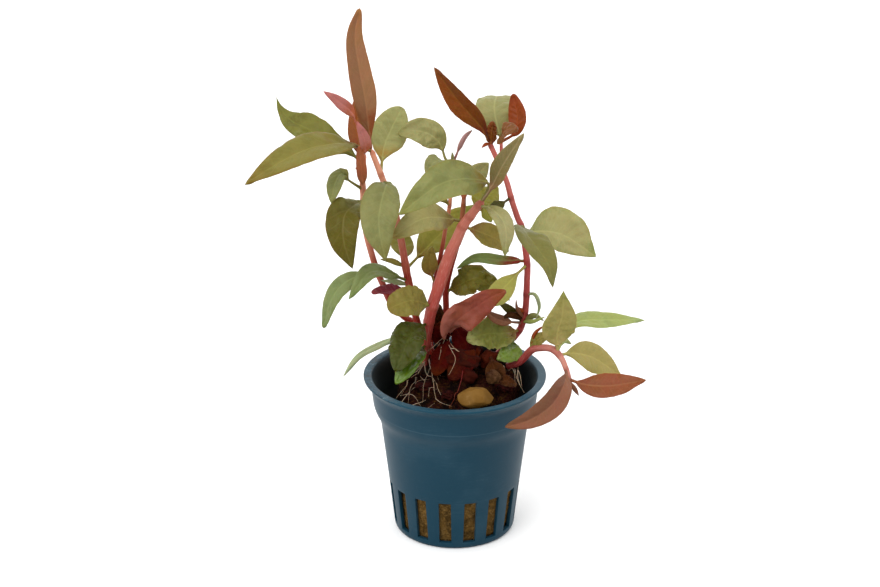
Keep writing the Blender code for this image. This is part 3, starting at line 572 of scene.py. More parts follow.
@dataclass(frozen=True)
class PlasticPaint:
    """The pot's moulded plastic: scuffs and painted light on the lip, painted shade and a film inside."""

    name: str = "pot_plastic"
    wall: Colour = (24, 74, 90)
    lip: Colour = (42, 80, 97)
    inside: Colour = (16, 30, 38)
    film: Colour = (62, 56, 36)
    scuff: Colour = (150, 166, 172)
    soot: Colour = (34, 42, 46)
    dust: Colour = (92, 118, 132)
    lip_from: float = 44.5
    ring_height: float = 37.1
    rough: float = 0.38

    @functools.cache
    def material(self) -> bpy.types.Material:
        """Make the material the first time that it is asked for."""
        made, web, shader = new_material(self.name)
        where = object_place(web)
        x, y, z = web.parts(where)
        away = web.math("SQRT", x * x + y * y)
        looks = web.out("ShaderNodeNewGeometry", give="Normal")
        inward = web.vector("DOT_PRODUCT", looks, web.place(x, y, 0.0)) / away * -1.0
        cloud = web.noise(where, 60.0, 4.0)
        fine = web.noise(where, 1800.0, 4.0, 0.6)
        scratch = web.noise(web.place(x * 260.0, y * 260.0, z * 2600.0), 1.0, 4.0, 0.7)
        lip = web.rise(z, (self.lip_from - 0.5) * MM, self.lip_from * MM) * web.rise(away, 22.2 * MM, 23.0 * MM)
        # Inward faces below the lip, which take the painted shade of the pot's inside.
        inside_shade = web.rise(inward, 0.2, 0.6) * (1.0 - lip)
        # Painted light: the lip is painted a lighter blue than the wall, for the light that it catches.
        colour = web.blend(lip, screen(*self.wall), screen(*self.lip))
        dusty = web.rise(cloud + (scratch - 0.5) * 0.3, 0.48, 0.75) * 0.12
        colour = web.blend(dusty, colour, screen(*self.dust))
        left = web.rise(x, -10 * MM, -24 * MM)
        worn = web.rise(scratch + (fine - 0.5) * 0.6, 0.56, 0.72) * (0.02 + lip * (0.1 + left * 0.5))
        colour = web.blend(worn, colour, screen(*self.scuff))
        sooty = lip * left * web.rise(fine + (scratch - 0.5) * 0.8, 0.5, 0.42) * 0.8
        colour = web.blend(sooty, colour, screen(*self.soot))
        dull = web.rise(z, 34 * MM, 42 * MM) * web.rise(cloud + left * 0.3, 0.56, 0.66)
        # Painted shade: the inner wall is painted nearly black for the shade inside the pot, with a patch of film
        # high on the left.
        wet = web.blend(dull * 0.25, screen(*self.inside), screen(*self.film))
        ring = web.rise(web.math("ABSOLUTE", z - self.ring_height * MM), 0.22 * MM, 0.05 * MM)
        colour = web.blend(ring * (0.1 + cloud * 0.25), colour, screen(*self.dust))
        colour = web.blend(inside_shade, colour, wet)
        colour = tone(web, colour, 0.93 + cloud * 0.1 + fine * 0.05)
        web.wire(colour, shader.inputs["Base Color"])
        web.wire(self.rough + (cloud - 0.5) * 0.2 + worn * 0.3, shader.inputs["Roughness"])
        height = fine * 0.35 + scratch * 0.12
        web.wire(web.out("ShaderNodeBump", {"Height": height, "Distance": 0.00005, "Strength": 0.5}),
                 shader.inputs["Normal"])
        shader.inputs["Specular IOR Level"].default_value = 0.22
        shader.inputs["Sheen Weight"].default_value = 0.25
        shader.inputs["Sheen Roughness"].default_value = 0.4
        shader.inputs["Sheen Tint"].default_value = screen(*self.scuff)
        return made


@dataclass(frozen=True)
class WoolPaint:
    """Stone wool: tan where it shows in the slots, darker on top, partly wet and partly painted shade."""

    name: str = "stone_wool_fibre"
    dry: Colour = (138, 108, 66)
    straw: Colour = (182, 152, 106)
    # The top's colour: partly wet wool and partly painted shade.
    wet: Colour = (62, 42, 26)
    dark: Colour = (34, 22, 14)
    wet_and_shade_from: float = 16.0
    wet_and_shade_by: float = 36.0

    @functools.cache
    def material(self) -> bpy.types.Material:
        """Make the material the first time that it is asked for."""
        made, web, shader = new_material(self.name)
        where = object_place(web)
        _, _, z = web.parts(where)
        lump = web.noise(where, 300.0, 4.0, 0.6)
        bend = web.out("ShaderNodeTexNoise", {"Vector": where, "Scale": 500.0, "Detail": 2.0}, "Color")
        warped = where + web.vector("MULTIPLY", bend, (0.0022, 0.0022, 0.0022))
        strands = web.out("ShaderNodeTexNoise", {
            "Vector": web.vector("MULTIPLY", warped, (900.0, 900.0, 4200.0)), "Scale": 1.0, "Detail": 4.0,
            "Roughness": 0.7})
        # Darker towards the top: partly wet wool and partly painted shade inside the pot.
        wet = web.rise(z, self.wet_and_shade_from * MM, self.wet_and_shade_by * MM)
        base = web.blend(wet, screen(*self.dry), screen(*self.wet))
        light = web.blend(wet, screen(*self.straw), screen(*tinted(self.dry, 0.75)))
        colour = web.blend(web.rise(strands, 0.5, 0.68) * 0.75, base, light)
        colour = web.blend(web.rise(lump + (strands - 0.5) * 0.4, 0.53, 0.38) * web.rise(wet, 0.0, 1.0, 0.5, 0.8), colour, screen(*self.dark))
        web.wire(colour, shader.inputs["Base Color"])
        web.wire(0.95 - wet * web.rise(lump, 0.4, 0.7) * 0.5, shader.inputs["Roughness"])
        height = strands * 0.8 + lump * 0.6
        web.wire(web.out("ShaderNodeBump", {"Height": height, "Distance": 0.0005, "Strength": 0.9}),
                 shader.inputs["Normal"])
        shader.inputs["Specular IOR Level"].default_value = EARTH_SHINE
        return made


@dataclass(frozen=True)
class Leaf:
    """One leaf with its stalk.

    height is where it leaves its stem's middle line, through lists the points that the
    midrib passes and ends at the tip, face is the side that the upper surface looks to and
    fold is the angle by which each half is raised from flat. start is how far from the
    stem's middle line its stalk is measured. point and base are how drawn out the tip and
    the foot of the blade are, and lean makes one half broader. ruffle, droop, ragged and
    crumple are shares of the half width, and waves is the number of ruffles along the blade.
    """

    name: str
    stem: str
    height: float
    through: tuple
    width: float
    face: tuple
    fold: float
    paint: "LeafPaint"
    stalk: float = 0.8
    tip_face: tuple = ()
    point: float = 0.85
    belly: float = 0.42
    start: float = 0.0
    rising: bool = False
    foot: tuple = ()
    base: float = 1.3
    lean: float = 0.0
    ruffle: float = 0.2
    waves: float = 3.0
    droop: float = 0.1
    ragged: float = 0.05
    crumple: float = 0.05


@dataclass(frozen=True)
class Stem:
    """One stem: the points of its middle line from its foot up, and its thickness there."""

    name: str
    points: tuple
    diameters: tuple
    paint: "StemPaint"
    branches: tuple = ()


@dataclass(frozen=True)
class Roots:
    """A tuft of thin roots. Each root lists x, y and the height above the stone wool."""

    name: str
    slot: str
    radius: float
    paint: "StemPaint"
    runs: tuple


@dataclass(frozen=True)
class Mound:
    """The stone wool's domed top and the taper that it fills in the pot."""

    radius: float = 16.4
    axis: tuple = (1.0, -0.5)
    shoulder: float = 38.0
    top: float = 47.3
    fall: float = 4.0
    crest: tuple = (2.0, 3.0)
    ripple: float = 0.5

    def height(self, x: float, y: float) -> float:
        """Return the height of the dome at a place, in millimetres."""
        away = math.hypot(x - self.crest[0], y - self.crest[1]) / self.radius
        waves = math.sin(0.9 * x) + math.sin(0.8 * y + 1.0)
        return self.top - self.fall * away ** 2 + self.ripple * waves


MOUND = Mound()
SPLINE_STEPS = 16
WELD = 1e-6
GROOVE_DEPTH = 0.00008
RIB_DEPTH = 0.00026
FOOT_CLEAR = 0.4
FOOT_LIFT = 0.4
FORK_STEPS = 14
FORK_RADIUS = 0.62
FORK_TAPER = 0.2
ROOT_STEPS = 24
ROOT_SIDES = 6
ROOT_WAVE = 0.14
ROOT_WANDER = 0.6
ROOT_CLEAR = 0.3
START_MOST = 0.5
STALK_CLEAR = 0.85
STALK_MOST = 0.6
STALK_HALF_WIDTH = 0.45
MARGIN_ANGLE = 60


def resample(points: Sequence[Vector], count: int) -> list[Vector]:
    """Space points evenly along a line.

    Args:
        points: The line's points.
        count: How many steps to make.

    Returns:
        count + 1 points.
    """
    lengths = [0.0]
    for a, b in zip(points, points[1:]):
        lengths.append(lengths[-1] + (b - a).length)
    spaced = []
    segment = 0
    for step in range(count + 1):
        target = lengths[-1] * step / count
        while segment < len(points) - 2 and lengths[segment + 1] < target:
            segment += 1
        span = max(lengths[segment + 1] - lengths[segment], 1e-9)
        share = (target - lengths[segment]) / span
        spaced.append(points[segment].lerp(points[segment + 1], min(max(share, 0.0), 1.0)))
    return spaced


def smooth_path(points: Sequence[Vector], count: int) -> list[Vector]:
    """Pass a smooth curve through points.

    Args:
        points: The points that the curve passes.
        count: How many even steps to make along it.

    Returns:
        count + 1 points.
    """
    ends = [points[0] * 2 - points[1], *points, points[-1] * 2 - points[-2]]
    fine = []
    for a, b, c, d in zip(ends, ends[1:], ends[2:], ends[3:]):
        for step in range(SPLINE_STEPS):
            t = step / SPLINE_STEPS
            fine.append(0.5 * (2 * b + (c - a) * t + (2 * a - 5 * b + 4 * c - d) * t ** 2
                               + (3 * b - 3 * c + d - a) * t ** 3))
    fine.append(points[-1])
    return resample(fine, count)


def tangents(points: Sequence[Vector]) -> list[Vector]:
    """Return the unit direction of a line at each of its points."""
    last = len(points) - 1
    return [(points[min(i + 1, last)] - points[max(i - 1, 0)]).normalized() for i in range(last + 1)]


def length_of(points: Sequence[Vector]) -> float:
    """Return the length of a line of points."""
    return sum((b - a).length for a, b in zip(points, points[1:]))


def line_mesh(name: str, runs: Sequence[Sequence[Vector]], numbers: dict[str, Sequence[float]],
              vectors: Optional[dict[str, Sequence[Vector]]] = None) -> bpy.types.Mesh:
    """Make a mesh of open lines for a geometry tree to follow.

    Args:
        name: The mesh's name.
        runs: The lines, in millimetres.
        numbers: Named numbers, one for each point of all the lines in order.
        vectors: Named vectors, one for each point.

    Returns:
        The mesh, in metres.
    """
    mesh = bpy.data.meshes.new(name)
    points = [point * MM for run in runs for point in run]
    edges = []
    first = 0
    for run in runs:
        edges += [(first + k, first + k + 1) for k in range(len(run) - 1)]
        first += len(run)
    mesh.from_pydata(points, edges, [])
    for key, values in numbers.items():
        mesh.attributes.new(key, "FLOAT", "POINT").data.foreach_set("value", list(values))
    for key, values in (vectors or {}).items():
        flat = [part for value in values for part in value]
        mesh.attributes.new(key, "FLOAT_VECTOR", "POINT").data.foreach_set("vector", flat)
    return mesh


def grow(name: str, source: bpy.types.Mesh, tree: bpy.types.NodeTree, values: dict[str, Any]) -> bpy.types.Object:
    """Run a geometry tree on a mesh and keep what it makes as a plain mesh.

    Args:
        name: The finished object's name.
        source: The mesh that the tree starts from.
        tree: The geometry tree.
        values: The tree's inputs by name.

    Returns:
        The finished object, at the origin.
    """
    made = bpy.data.objects.new(name, source)
    bpy.context.scene.collection.objects.link(made)
    change = made.modifiers.new("grow", "NODES")
    change.node_group = tree
    for item in tree.interface.items_tree:
        if item.in_out == "INPUT" and item.name in values:
            change[item.identifier] = values[item.name]
    depsgraph = bpy.context.evaluated_depsgraph_get()
    grown = made.evaluated_get(depsgraph)
    mesh = bpy.data.meshes.new_from_object(grown, preserve_all_data_layers=True, depsgraph=depsgraph)
    mesh.name = name
    made.modifiers.remove(change)
    made.data = mesh
    bpy.data.meshes.remove(source)
    return made


def settle(piece: bpy.types.Object, slot: str, *nodes: str) -> bpy.types.Object:
    """Fix a finished piece to the frame.

    Args:
        piece: The finished piece.
        slot: The piece's material slot; not used.
        nodes: The CAD nodes that it stands for.

    Returns:
        The piece.
    """
    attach(piece, "root")
    if nodes:
        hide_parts(*nodes)
    LOG.info("%s: %d faces, for %s", piece.name, len(piece.data.polygons), nodes or "no node")
    return piece


def leaf_tree() -> bpy.types.NodeTree:
    """Build the geometry tree that grows a leaf along its midrib.

    A flat grid is bent to the midrib's line. Its rows run from the stem to the tip and its
    columns from margin to margin. An upper and a lower skin meet at the margins.

    Returns:
        The tree.
    """
    web = Web.group("leaf_blade", Tree.SHAPE)
    spine = web.takes("Midrib", Kind.SHAPE)
    rows = web.takes("Rows", Kind.COUNT, 72)
    columns = web.takes("Columns", Kind.COUNT, 21)
    width = web.takes("Width", default=0.008)
    start = web.takes("Start", default=0.0)
    stalk = web.takes("Stalk", default=0.1)
    power = web.takes("Belly Power", default=0.8)
    point = web.takes("Point", default=0.85)
    base = web.takes("Base", default=1.3)
    lean = web.takes("Lean", default=0.0)
    crumple = web.takes("Crumple", default=0.05)
    fold = web.takes("Fold", default=0.2)
    ruffle = web.takes("Ruffle", default=0.2)
    waves = web.takes("Waves", default=3.0)
    droop = web.takes("Droop", default=0.1)
    ragged = web.takes("Ragged", default=0.05)
    thickness = web.takes("Thickness", default=0.0004)
    stalk_half = web.takes("Stalk Half Width", default=0.00045)
    seed = web.takes("Seed", default=0.0)
    coat = web.takes("Material", Kind.MATERIAL)

    curve = web.out("GeometryNodeMeshToCurve", {"Mesh": spine})
    grid = web.out("GeometryNodeMeshGrid", {"Size X": 1.0, "Size Y": 2.0, "Vertices X": rows,
                                            "Vertices Y": columns})
    east, across, _ = web.parts(web.out("GeometryNodeInputPosition"))
    share = east + 0.5
    sample = web.node("GeometryNodeSampleCurve", {"Curves": curve, "Value": web.named("face", "FLOAT_VECTOR"),
                                                  "Factor": share}, data_type="FLOAT_VECTOR")
    middle = Term(web, sample.outputs["Position"])
    forward = Term(web, sample.outputs["Tangent"])
    face = Term(web, sample.outputs["Value"])
    straight = face - forward * web.vector("DOT_PRODUCT", face, forward)
    normal = web.vector("NORMALIZE", straight)
    sideways = web.vector("CROSS_PRODUCT", normal, forward)

    beyond = web.math("MAXIMUM", (share - start) / (1.0 - start), 0.0)
    blade = web.math("MAXIMUM", (beyond - stalk) / (1.0 - stalk), 0.0)
    arch = web.math("MAXIMUM", web.math("SINE", blade ** power * math.pi), 0.0)
    swell = arch ** web.rise(blade, 0.0, 0.55, base, point)
    drift = web.place(share * waves + seed, across * 0.8, seed * 3.1)
    jagged = web.noise(web.place(share * 14.0 + seed, web.math("SIGN", across), seed), 1.0, 3.0) - 0.5
    broad = width * 0.5 * swell * (1.0 + jagged * ragged * 2.0) * (1.0 + web.math("SIGN", across) * lean)
    slim = stalk_half * (1.0 - share)
    half = web.math("SQRT", broad * broad + slim * slim)
    flat = web.rise(half, stalk_half * 1.2, stalk_half * 3.0)

    spread = web.math("ABSOLUTE", across)
    crease = (web.math("SQRT", across * across + 0.012) - 0.11) * web.math("SINE", fold)
    wave = (web.noise(drift, 1.0, 1.0) - 0.5) * 2.0 * ruffle * spread * spread
    curl = droop * spread ** 3.0
    ribs = web.math("PINGPONG", blade * 7.0 - spread * 0.9 + 0.5, 0.5)
    quilt = web.math("SINE", ribs * math.pi) * 0.03 * (1.0 - spread ** 4.0)
    folds = web.noise(web.place(share * 9.0 + seed, across * 1.7, seed), 1.0, 2.0)
    crumples = (folds - 0.5) * crumple * 4.0 * web.rise(spread, 0.0, 0.4)
    lift = half * flat * (crease + wave - curl + quilt + crumples)
    reach = across * half * web.math("COSINE", fold * flat)
    skin = middle + sideways * reach + normal * lift

    ends = web.rise(share, 0.0, 0.012) * web.rise(share, 1.0, 0.985)
    round_skin = half * web.math("SQRT", web.math("MAXIMUM", 1.0 - across * across, 0.0))
    thin_skin = thickness * 0.5 * (1.0 - spread ** 8.0)
    near_rib = across * half / 0.0004
    rib = web.math("EXPONENT", near_rib * near_rib * -1.0) * (1.0 - blade * 0.8) * (1.0 - across * across) * flat
    depth = round_skin * (1.0 - flat) + thin_skin * flat
    for name, value in (("along", blade), ("across", across), ("half", half)):
        grid = web.keep(grid, name, value)
    upper = web.out("GeometryNodeSetPosition",
                    {"Geometry": grid, "Position": skin + normal * (ends * (depth - rib * GROOVE_DEPTH))})
    under = web.out("GeometryNodeSetPosition",
                    {"Geometry": grid, "Position": skin - normal * (ends * (depth + rib * RIB_DEPTH))})
    under = web.out("GeometryNodeFlipFaces", {"Mesh": under})
    both = web.node("GeometryNodeJoinGeometry")
    web.wire(web.keep(upper, "side", 1.0, "FACE"), both.inputs[0])
    web.wire(web.keep(under, "side", 0.0, "FACE"), both.inputs[0])
    return finish_tree(web, Term(web, both.outputs[0]), coat, WELD)


def finish_tree(web: Web, shape: Term, coat: Term, weld: float) -> bpy.types.NodeTree:
    """End a geometry tree: weld its seams, shade it smooth, make it real and give its material.

    Args:
        web: The tree so far.
        shape: Its geometry.
        coat: The material's input.
        weld: How near points have to be to become one, in metres.

    Returns:
        The finished tree.
    """
    if weld:
        shape = web.out("GeometryNodeMergeByDistance", {"Geometry": shape, "Distance": weld})
    shape = web.out("GeometryNodeSetShadeSmooth", {"Geometry": shape})
    shape = web.out("GeometryNodeRealizeInstances", {"Geometry": shape})
    shape = web.out("GeometryNodeSetMaterial", {"Geometry": shape, "Material": coat})
    web.gives("Shape", shape, Kind.SHAPE)
    return web.tree


def tube_tree() -> bpy.types.NodeTree:
    """Build the geometry tree that grows stems and roots along lines.

    Each point of the lines has a girth, its radius in metres, and a nodal value that is 1
    at a node of the stem. Shallow furrows run along the tube.

    Returns:
        The tree.
    """
    web = Web.group("grown_tube", Tree.SHAPE)
    lines = web.takes("Lines", Kind.SHAPE)
    sides = web.takes("Sides", Kind.COUNT, 20)
    furrow = web.takes("Furrow", default=0.05)
    furrows = web.takes("Furrows", default=6.0)
    lump = web.takes("Lump", default=0.08)
    grain = web.takes("Lump Scale", default=900.0)
    coat = web.takes("Material", Kind.MATERIAL)

    curve = web.out("GeometryNodeMeshToCurve", {"Mesh": lines})
    share = web.out("GeometryNodeSplineParameter")
    curve = web.keep(curve, "along", share)
    ring = web.out("GeometryNodeCurvePrimitiveCircle", {"Resolution": sides, "Radius": 1.0})
    turn = web.out("GeometryNodeSplineParameter")
    ring = web.keep(ring, "around", turn)
    tube = web.out("GeometryNodeCurveToMesh", {"Curve": curve, "Profile Curve": ring,
                                               "Scale": web.named("girth"), "Fill Caps": True})
    normal = web.out("GeometryNodeInputNormal")
    waves = web.math("COSINE", web.named("around") * math.tau * furrows) * furrow
    where = web.out("GeometryNodeInputPosition")
    lumps = (web.noise(where, grain, 2.0) - 0.5) * lump
    tube = web.out("GeometryNodeSetPosition",
                   {"Geometry": tube, "Offset": normal * (web.named("girth") * (waves + lumps))})
    return finish_tree(web, tube, coat, 0.0)


def stem_points(stem: Stem) -> list[Vector]:
    """Return a stem's middle line with its foot in the stone wool."""
    points = [Vector(point) for point in stem.points]
    foot = points[0]
    foot.z = MOUND.height(foot.x, foot.y) + FOOT_CLEAR + FOOT_LIFT * stem.diameters[0]
    return points


def stem_radius(stem: Stem, share: float) -> float:
    """Return a stem's radius at a share of its length, by a parabola, in millimetres."""
    foot, middle, top = stem.diameters
    across = (foot * (1 - share) * (1 - 2 * share) + 4 * middle * share * (1 - share)
              + top * share * (2 * share - 1))
    return across / 2


def point_at_height(points: Sequence[Vector], height: float, rising: bool) -> tuple[Vector, float]:
    """Find where a line reaches a height.

    Args:
        points: The line.
        height: The height.
        rising: Take the first such point, not the last, past the line's top.

    Returns:
        The point, and how far along the line it is.
    """
    pairs = list(enumerate(zip(points, points[1:])))
    for index, (low, high) in pairs if rising else reversed(pairs):
        if min(low.z, high.z) <= height <= max(low.z, high.z):
            share = (height - low.z) / (high.z - low.z)
            return low.lerp(high, share), (index + share) / (len(points) - 1)
    return points[-1].copy(), 1.0


@dataclass
class Plant:
    """The stems and all that grows from them."""

    stems: tuple[Stem, ...]
    leaves: tuple[Leaf, ...]
    young: tuple[Leaf, ...]
    roots: tuple[Roots, ...]
    ground: tuple["Lump", ...]
    leaf_rows: int = 72
    leaf_columns: int = 21
    leaf_thickness: float = 0.36
    midrib_points: int = 48
    stem_spacing: float = 0.6
    stem_sides: int = 20
    node_swell: float = 0.1
    node_reach: float = 0.9
    tip_length: float = 1.2

    def build(self) -> None:
        """Grow the stems, then the leaves on them, then the roots."""
        self.blade = leaf_tree()
        self.tube = tube_tree()
        self.lines = {stem.name: self.middle_line(stem) for stem in self.stems}
        for stem in self.stems:
            settle(self.make_stem(stem), stem.paint.slot, stem.name)
        for leaf in self.leaves:
            settle(self.make_leaf(leaf, f"{leaf.name}_blade", self.clearance(leaf)), leaf.paint.slot, leaf.name)
        for leaf in self.young:
            settle(self.make_leaf(leaf, leaf.name, 0.0), leaf.paint.slot)
        for roots in self.roots:
            settle(self.make_roots(roots), roots.slot)

    def middle_line(self, stem: Stem) -> list[Vector]:
        """Return a stem's middle line in short even steps."""
        points = stem_points(stem)
        return smooth_path(points, int(length_of(points) / self.stem_spacing))

    def leaf_foot(self, leaf: Leaf) -> tuple[Vector, float]:
        """Return where a leaf leaves its stem's middle line, and how far along that is."""
        if leaf.foot:
            return Vector(leaf.foot), 1.0
        return point_at_height(self.lines[leaf.stem], leaf.height, leaf.rising)

    def girths(self, stem: Stem, line: Sequence[Vector]) -> tuple[list[float], list[float]]:
        """Work out a stem's radius and its nodes.

        Args:
            stem: The stem.
            line: Its middle line.

        Returns:
            The radius in metres at each point, and how much each point is in a node.
        """
        feet = [self.leaf_foot(leaf)[0] for leaf in self.leaves + self.young if leaf.stem == stem.name]
        radii = []
        nodal = []
        for index, point in enumerate(line):
            near = max((math.exp(-((point - foot).length / self.node_reach) ** 2) for foot in feet), default=0.0)
            to_tip = (len(line) - 1 - index) * self.stem_spacing
            taper = math.sqrt(min(1.0, (to_tip + 0.1) / self.tip_length))
            radii.append(stem_radius(stem, index / (len(line) - 1)) * (1 + self.node_swell * near) * taper * MM)
            nodal.append(near)
        return radii, nodal

    def make_stem(self, stem: Stem) -> bpy.types.Object:
        """Make a stem with its forks."""
        line = self.lines[stem.name]
        radii, nodal = self.girths(stem, line)
        runs = [line]
        for branch in stem.branches:
            fork = smooth_path([Vector(point) for point in branch], FORK_STEPS)
            runs.append(fork)
            radii += [(FORK_RADIUS - FORK_TAPER * k / FORK_STEPS) * MM for k in range(FORK_STEPS + 1)]
            nodal += [0.0] * (FORK_STEPS + 1)
        source = line_mesh(stem.name, runs, {"girth": radii, "nodal": nodal})
        return grow(f"{stem.name}_skin", source, self.tube, {
            "Sides": self.stem_sides, "Material": stem.paint.material()})

    def clearance(self, leaf: Leaf) -> float:
        """Return how far from its stem's middle line a leaf's stalk is measured."""
        _, share = self.leaf_foot(leaf)
        stem = next(stem for stem in self.stems if stem.name == leaf.stem)
        return leaf.start or stem_radius(stem, share) + STALK_CLEAR

    def make_leaf(self, leaf: Leaf, name: str, clear: float) -> bpy.types.Object:
        """Make a leaf whose stalk reaches its stem.

        Args:
            leaf: The leaf.
            name: The finished object's name.
            clear: How far from the stem's middle line its stalk is measured.

        Returns:
            The leaf's object.
        """
        foot, _ = self.leaf_foot(leaf)
        line = smooth_path([foot] + [Vector(point) for point in leaf.through], self.midrib_points)
        length = length_of(line)
        face = Vector(leaf.face).normalized()
        tip_face = Vector(leaf.tip_face).normalized() if leaf.tip_face else face
        faces = [face.lerp(tip_face, k / self.midrib_points) for k in range(len(line))]
        source = line_mesh(leaf.name, [line], {}, {"face": faces})
        made = grow(name, source, self.blade, {
            "Rows": self.leaf_rows, "Columns": self.leaf_columns, "Width": leaf.width * MM,
            "Start": min(clear / length, START_MOST), "Stalk": min(leaf.stalk / length, STALK_MOST),
            "Belly Power": math.log(0.5) / math.log(leaf.belly), "Point": leaf.point,
            "Fold": math.radians(leaf.fold), "Ruffle": leaf.ruffle, "Waves": leaf.waves,
            "Base": leaf.base, "Lean": leaf.lean, "Crumple": leaf.crumple,
            "Droop": leaf.droop, "Ragged": leaf.ragged, "Thickness": self.leaf_thickness * MM,
            "Stalk Half Width": STALK_HALF_WIDTH * MM, "Seed": seed_of(leaf.name),
            "Material": leaf.paint.material()})
        made.data.set_sharp_from_angle(angle=math.radians(MARGIN_ANGLE))
        return made

    def make_roots(self, roots: Roots) -> bpy.types.Object:
        """Make a tuft of thin roots that lie over the stone wool."""
        runs = []
        radii = []
        for run in roots.runs:
            lifted = [Vector((x, y, MOUND.height(x, y) + lift)) for x, y, lift in run]
            line = smooth_path(lifted, ROOT_STEPS)
            for k, point in enumerate(line):
                loose = math.sin(math.pi * k / ROOT_STEPS)
                point += noise.noise_vector(point * ROOT_WAVE) * ROOT_WANDER * loose
                under = max(lump.top(point.x, point.y) for lump in self.ground) + ROOT_CLEAR
                point.z = max(point.z, under if loose else point.z)
            runs.append(line)
            radii += [roots.radius * MM * math.sqrt(1.0 - 0.9 * k / ROOT_STEPS) for k in range(ROOT_STEPS + 1)]
        source = line_mesh(roots.name, runs, {"girth": radii, "nodal": [0.0] * len(radii)})
        return grow(roots.name, source, self.tube, {
            "Sides": ROOT_SIDES, "Furrow": 0.0, "Lump": 0.5, "Lump Scale": 1400.0,
            "Material": roots.paint.material()})


def seed_of(name: str) -> float:
    """Return a number from 0 to 50 that belongs to a name, the same in each run."""
    return sum((index + 1) * ord(letter) for index, letter in enumerate(name)) % 500 / 10.0


def surface(name: str, rings: Sequence[Sequence[Vector]]) -> bpy.types.Mesh:
    """Join rings of points into one closed mesh, with a fan in the first and the last.

    Args:
        name: The mesh's name.
        rings: Rings with the same number of points, in millimetres.

    Returns:
        The mesh, shaded smooth.
    """
    shape = bmesh.new()
    loops = [[shape.verts.new(point * MM) for point in ring] for ring in rings]
    for lower, upper in zip(loops, loops[1:]):
        for k in range(len(lower)):
            after = (k + 1) % len(lower)
            shape.faces.new((lower[k], lower[after], upper[after], upper[k]))
    for loop in (loops[0], loops[-1]):
        middle = sum((corner.co for corner in loop), Vector()) / len(loop)
        hub = shape.verts.new(middle)
        for k in range(len(loop)):
            shape.faces.new((loop[k], loop[(k + 1) % len(loop)], hub))
    bmesh.ops.recalc_face_normals(shape, faces=shape.faces)
    return smooth_mesh(name, shape)


def smooth_mesh(name: str, shape: bmesh.types.BMesh) -> bpy.types.Mesh:
    """Turn a bmesh into a mesh that is shaded smooth."""
    mesh = bpy.data.meshes.new(name)
    shape.to_mesh(mesh)
    shape.free()
    mesh.shade_smooth()
    return mesh


def add_piece(mesh: bpy.types.Mesh, coat: bpy.types.Material) -> bpy.types.Object:
    """Put a mesh in the scene with its material, as an object of the same name."""
    mesh.materials.append(coat)
    made = bpy.data.objects.new(mesh.name, mesh)
    bpy.context.scene.collection.objects.link(made)
    return made


def rounded(corners: Sequence[tuple[float, float, float]], steps: int) -> list[tuple[float, float]]:
    """Round the corners of an open profile.

    Args:
        corners: Radius, height and rounding of each corner.
        steps: How many steps each rounding takes.

    Returns:
        The points of the rounded profile.
    """
    line = []
    for index, (radius, height, soft) in enumerate(corners):
        here = Vector((radius, height))
        if not soft or index in (0, len(corners) - 1):
            line.append(tuple(here))
            continue
        before = Vector(corners[index - 1][:2]) - here
        after = Vector(corners[index + 1][:2]) - here
        start = here + before.normalized() * min(soft, before.length / 2)
        end = here + after.normalized() * min(soft, after.length / 2)
        for step in range(steps + 1):
            share = step / steps
            line.append(tuple(start.lerp(here, share).lerp(here.lerp(end, share), share)))
    return line


def turned(profile: Sequence[tuple[float, float]], segments: int) -> list[list[Vector]]:
    """Turn a profile about the vertical into rings of points."""
    turns = [math.tau * k / segments for k in range(segments)]
    return [[Vector((radius * math.cos(turn), radius * math.sin(turn), height)) for turn in turns]
            for radius, height in profile]


def slot_tree() -> bpy.types.NodeTree:
    """Build the geometry tree that cuts a ring of upright slots through the pot's wall.

    Returns:
        The tree.
    """
    web = Web.group("slot_ring", Tree.SHAPE)
    wall = web.takes("Wall", Kind.SHAPE)
    count = web.takes("Count", Kind.COUNT, 16)
    start = web.takes("Start")
    radius = web.takes("Radius", default=0.016)
    middle = web.takes("Middle", default=0.008)
    depth = web.takes("Depth", default=0.008)
    width = web.takes("Slot Width", default=0.0034)
    tall = web.takes("Slot Height", default=0.0126)
    coat = web.takes("Material", Kind.MATERIAL)
    index = web.out("GeometryNodeInputIndex")
    turn = start + (index + 0.5) * math.tau / count
    where = web.place(web.math("COSINE", turn) * radius, web.math("SINE", turn) * radius, middle)
    points = web.out("GeometryNodePoints", {"Count": count, "Position": where})
    bar = web.out("GeometryNodeMeshCube", {"Size": web.place(depth, width, tall)})
    bars = web.out("GeometryNodeInstanceOnPoints", {
        "Points": points, "Instance": bar, "Rotation": web.place(0.0, 0.0, turn)})
    bars = web.out("GeometryNodeRealizeInstances", {"Geometry": bars})
    cut = web.out("GeometryNodeMeshBoolean", {"Mesh 1": wall, "Mesh 2": bars}, solver="EXACT")
    cut = web.out("GeometryNodeMergeByDistance", {"Geometry": cut, "Distance": WELD})
    cut = web.out("GeometryNodeRealizeInstances", {"Geometry": cut})
    cut = web.out("GeometryNodeSetMaterial", {"Geometry": cut, "Material": coat})
    web.gives("Shape", cut, Kind.SHAPE)
    return web.tree


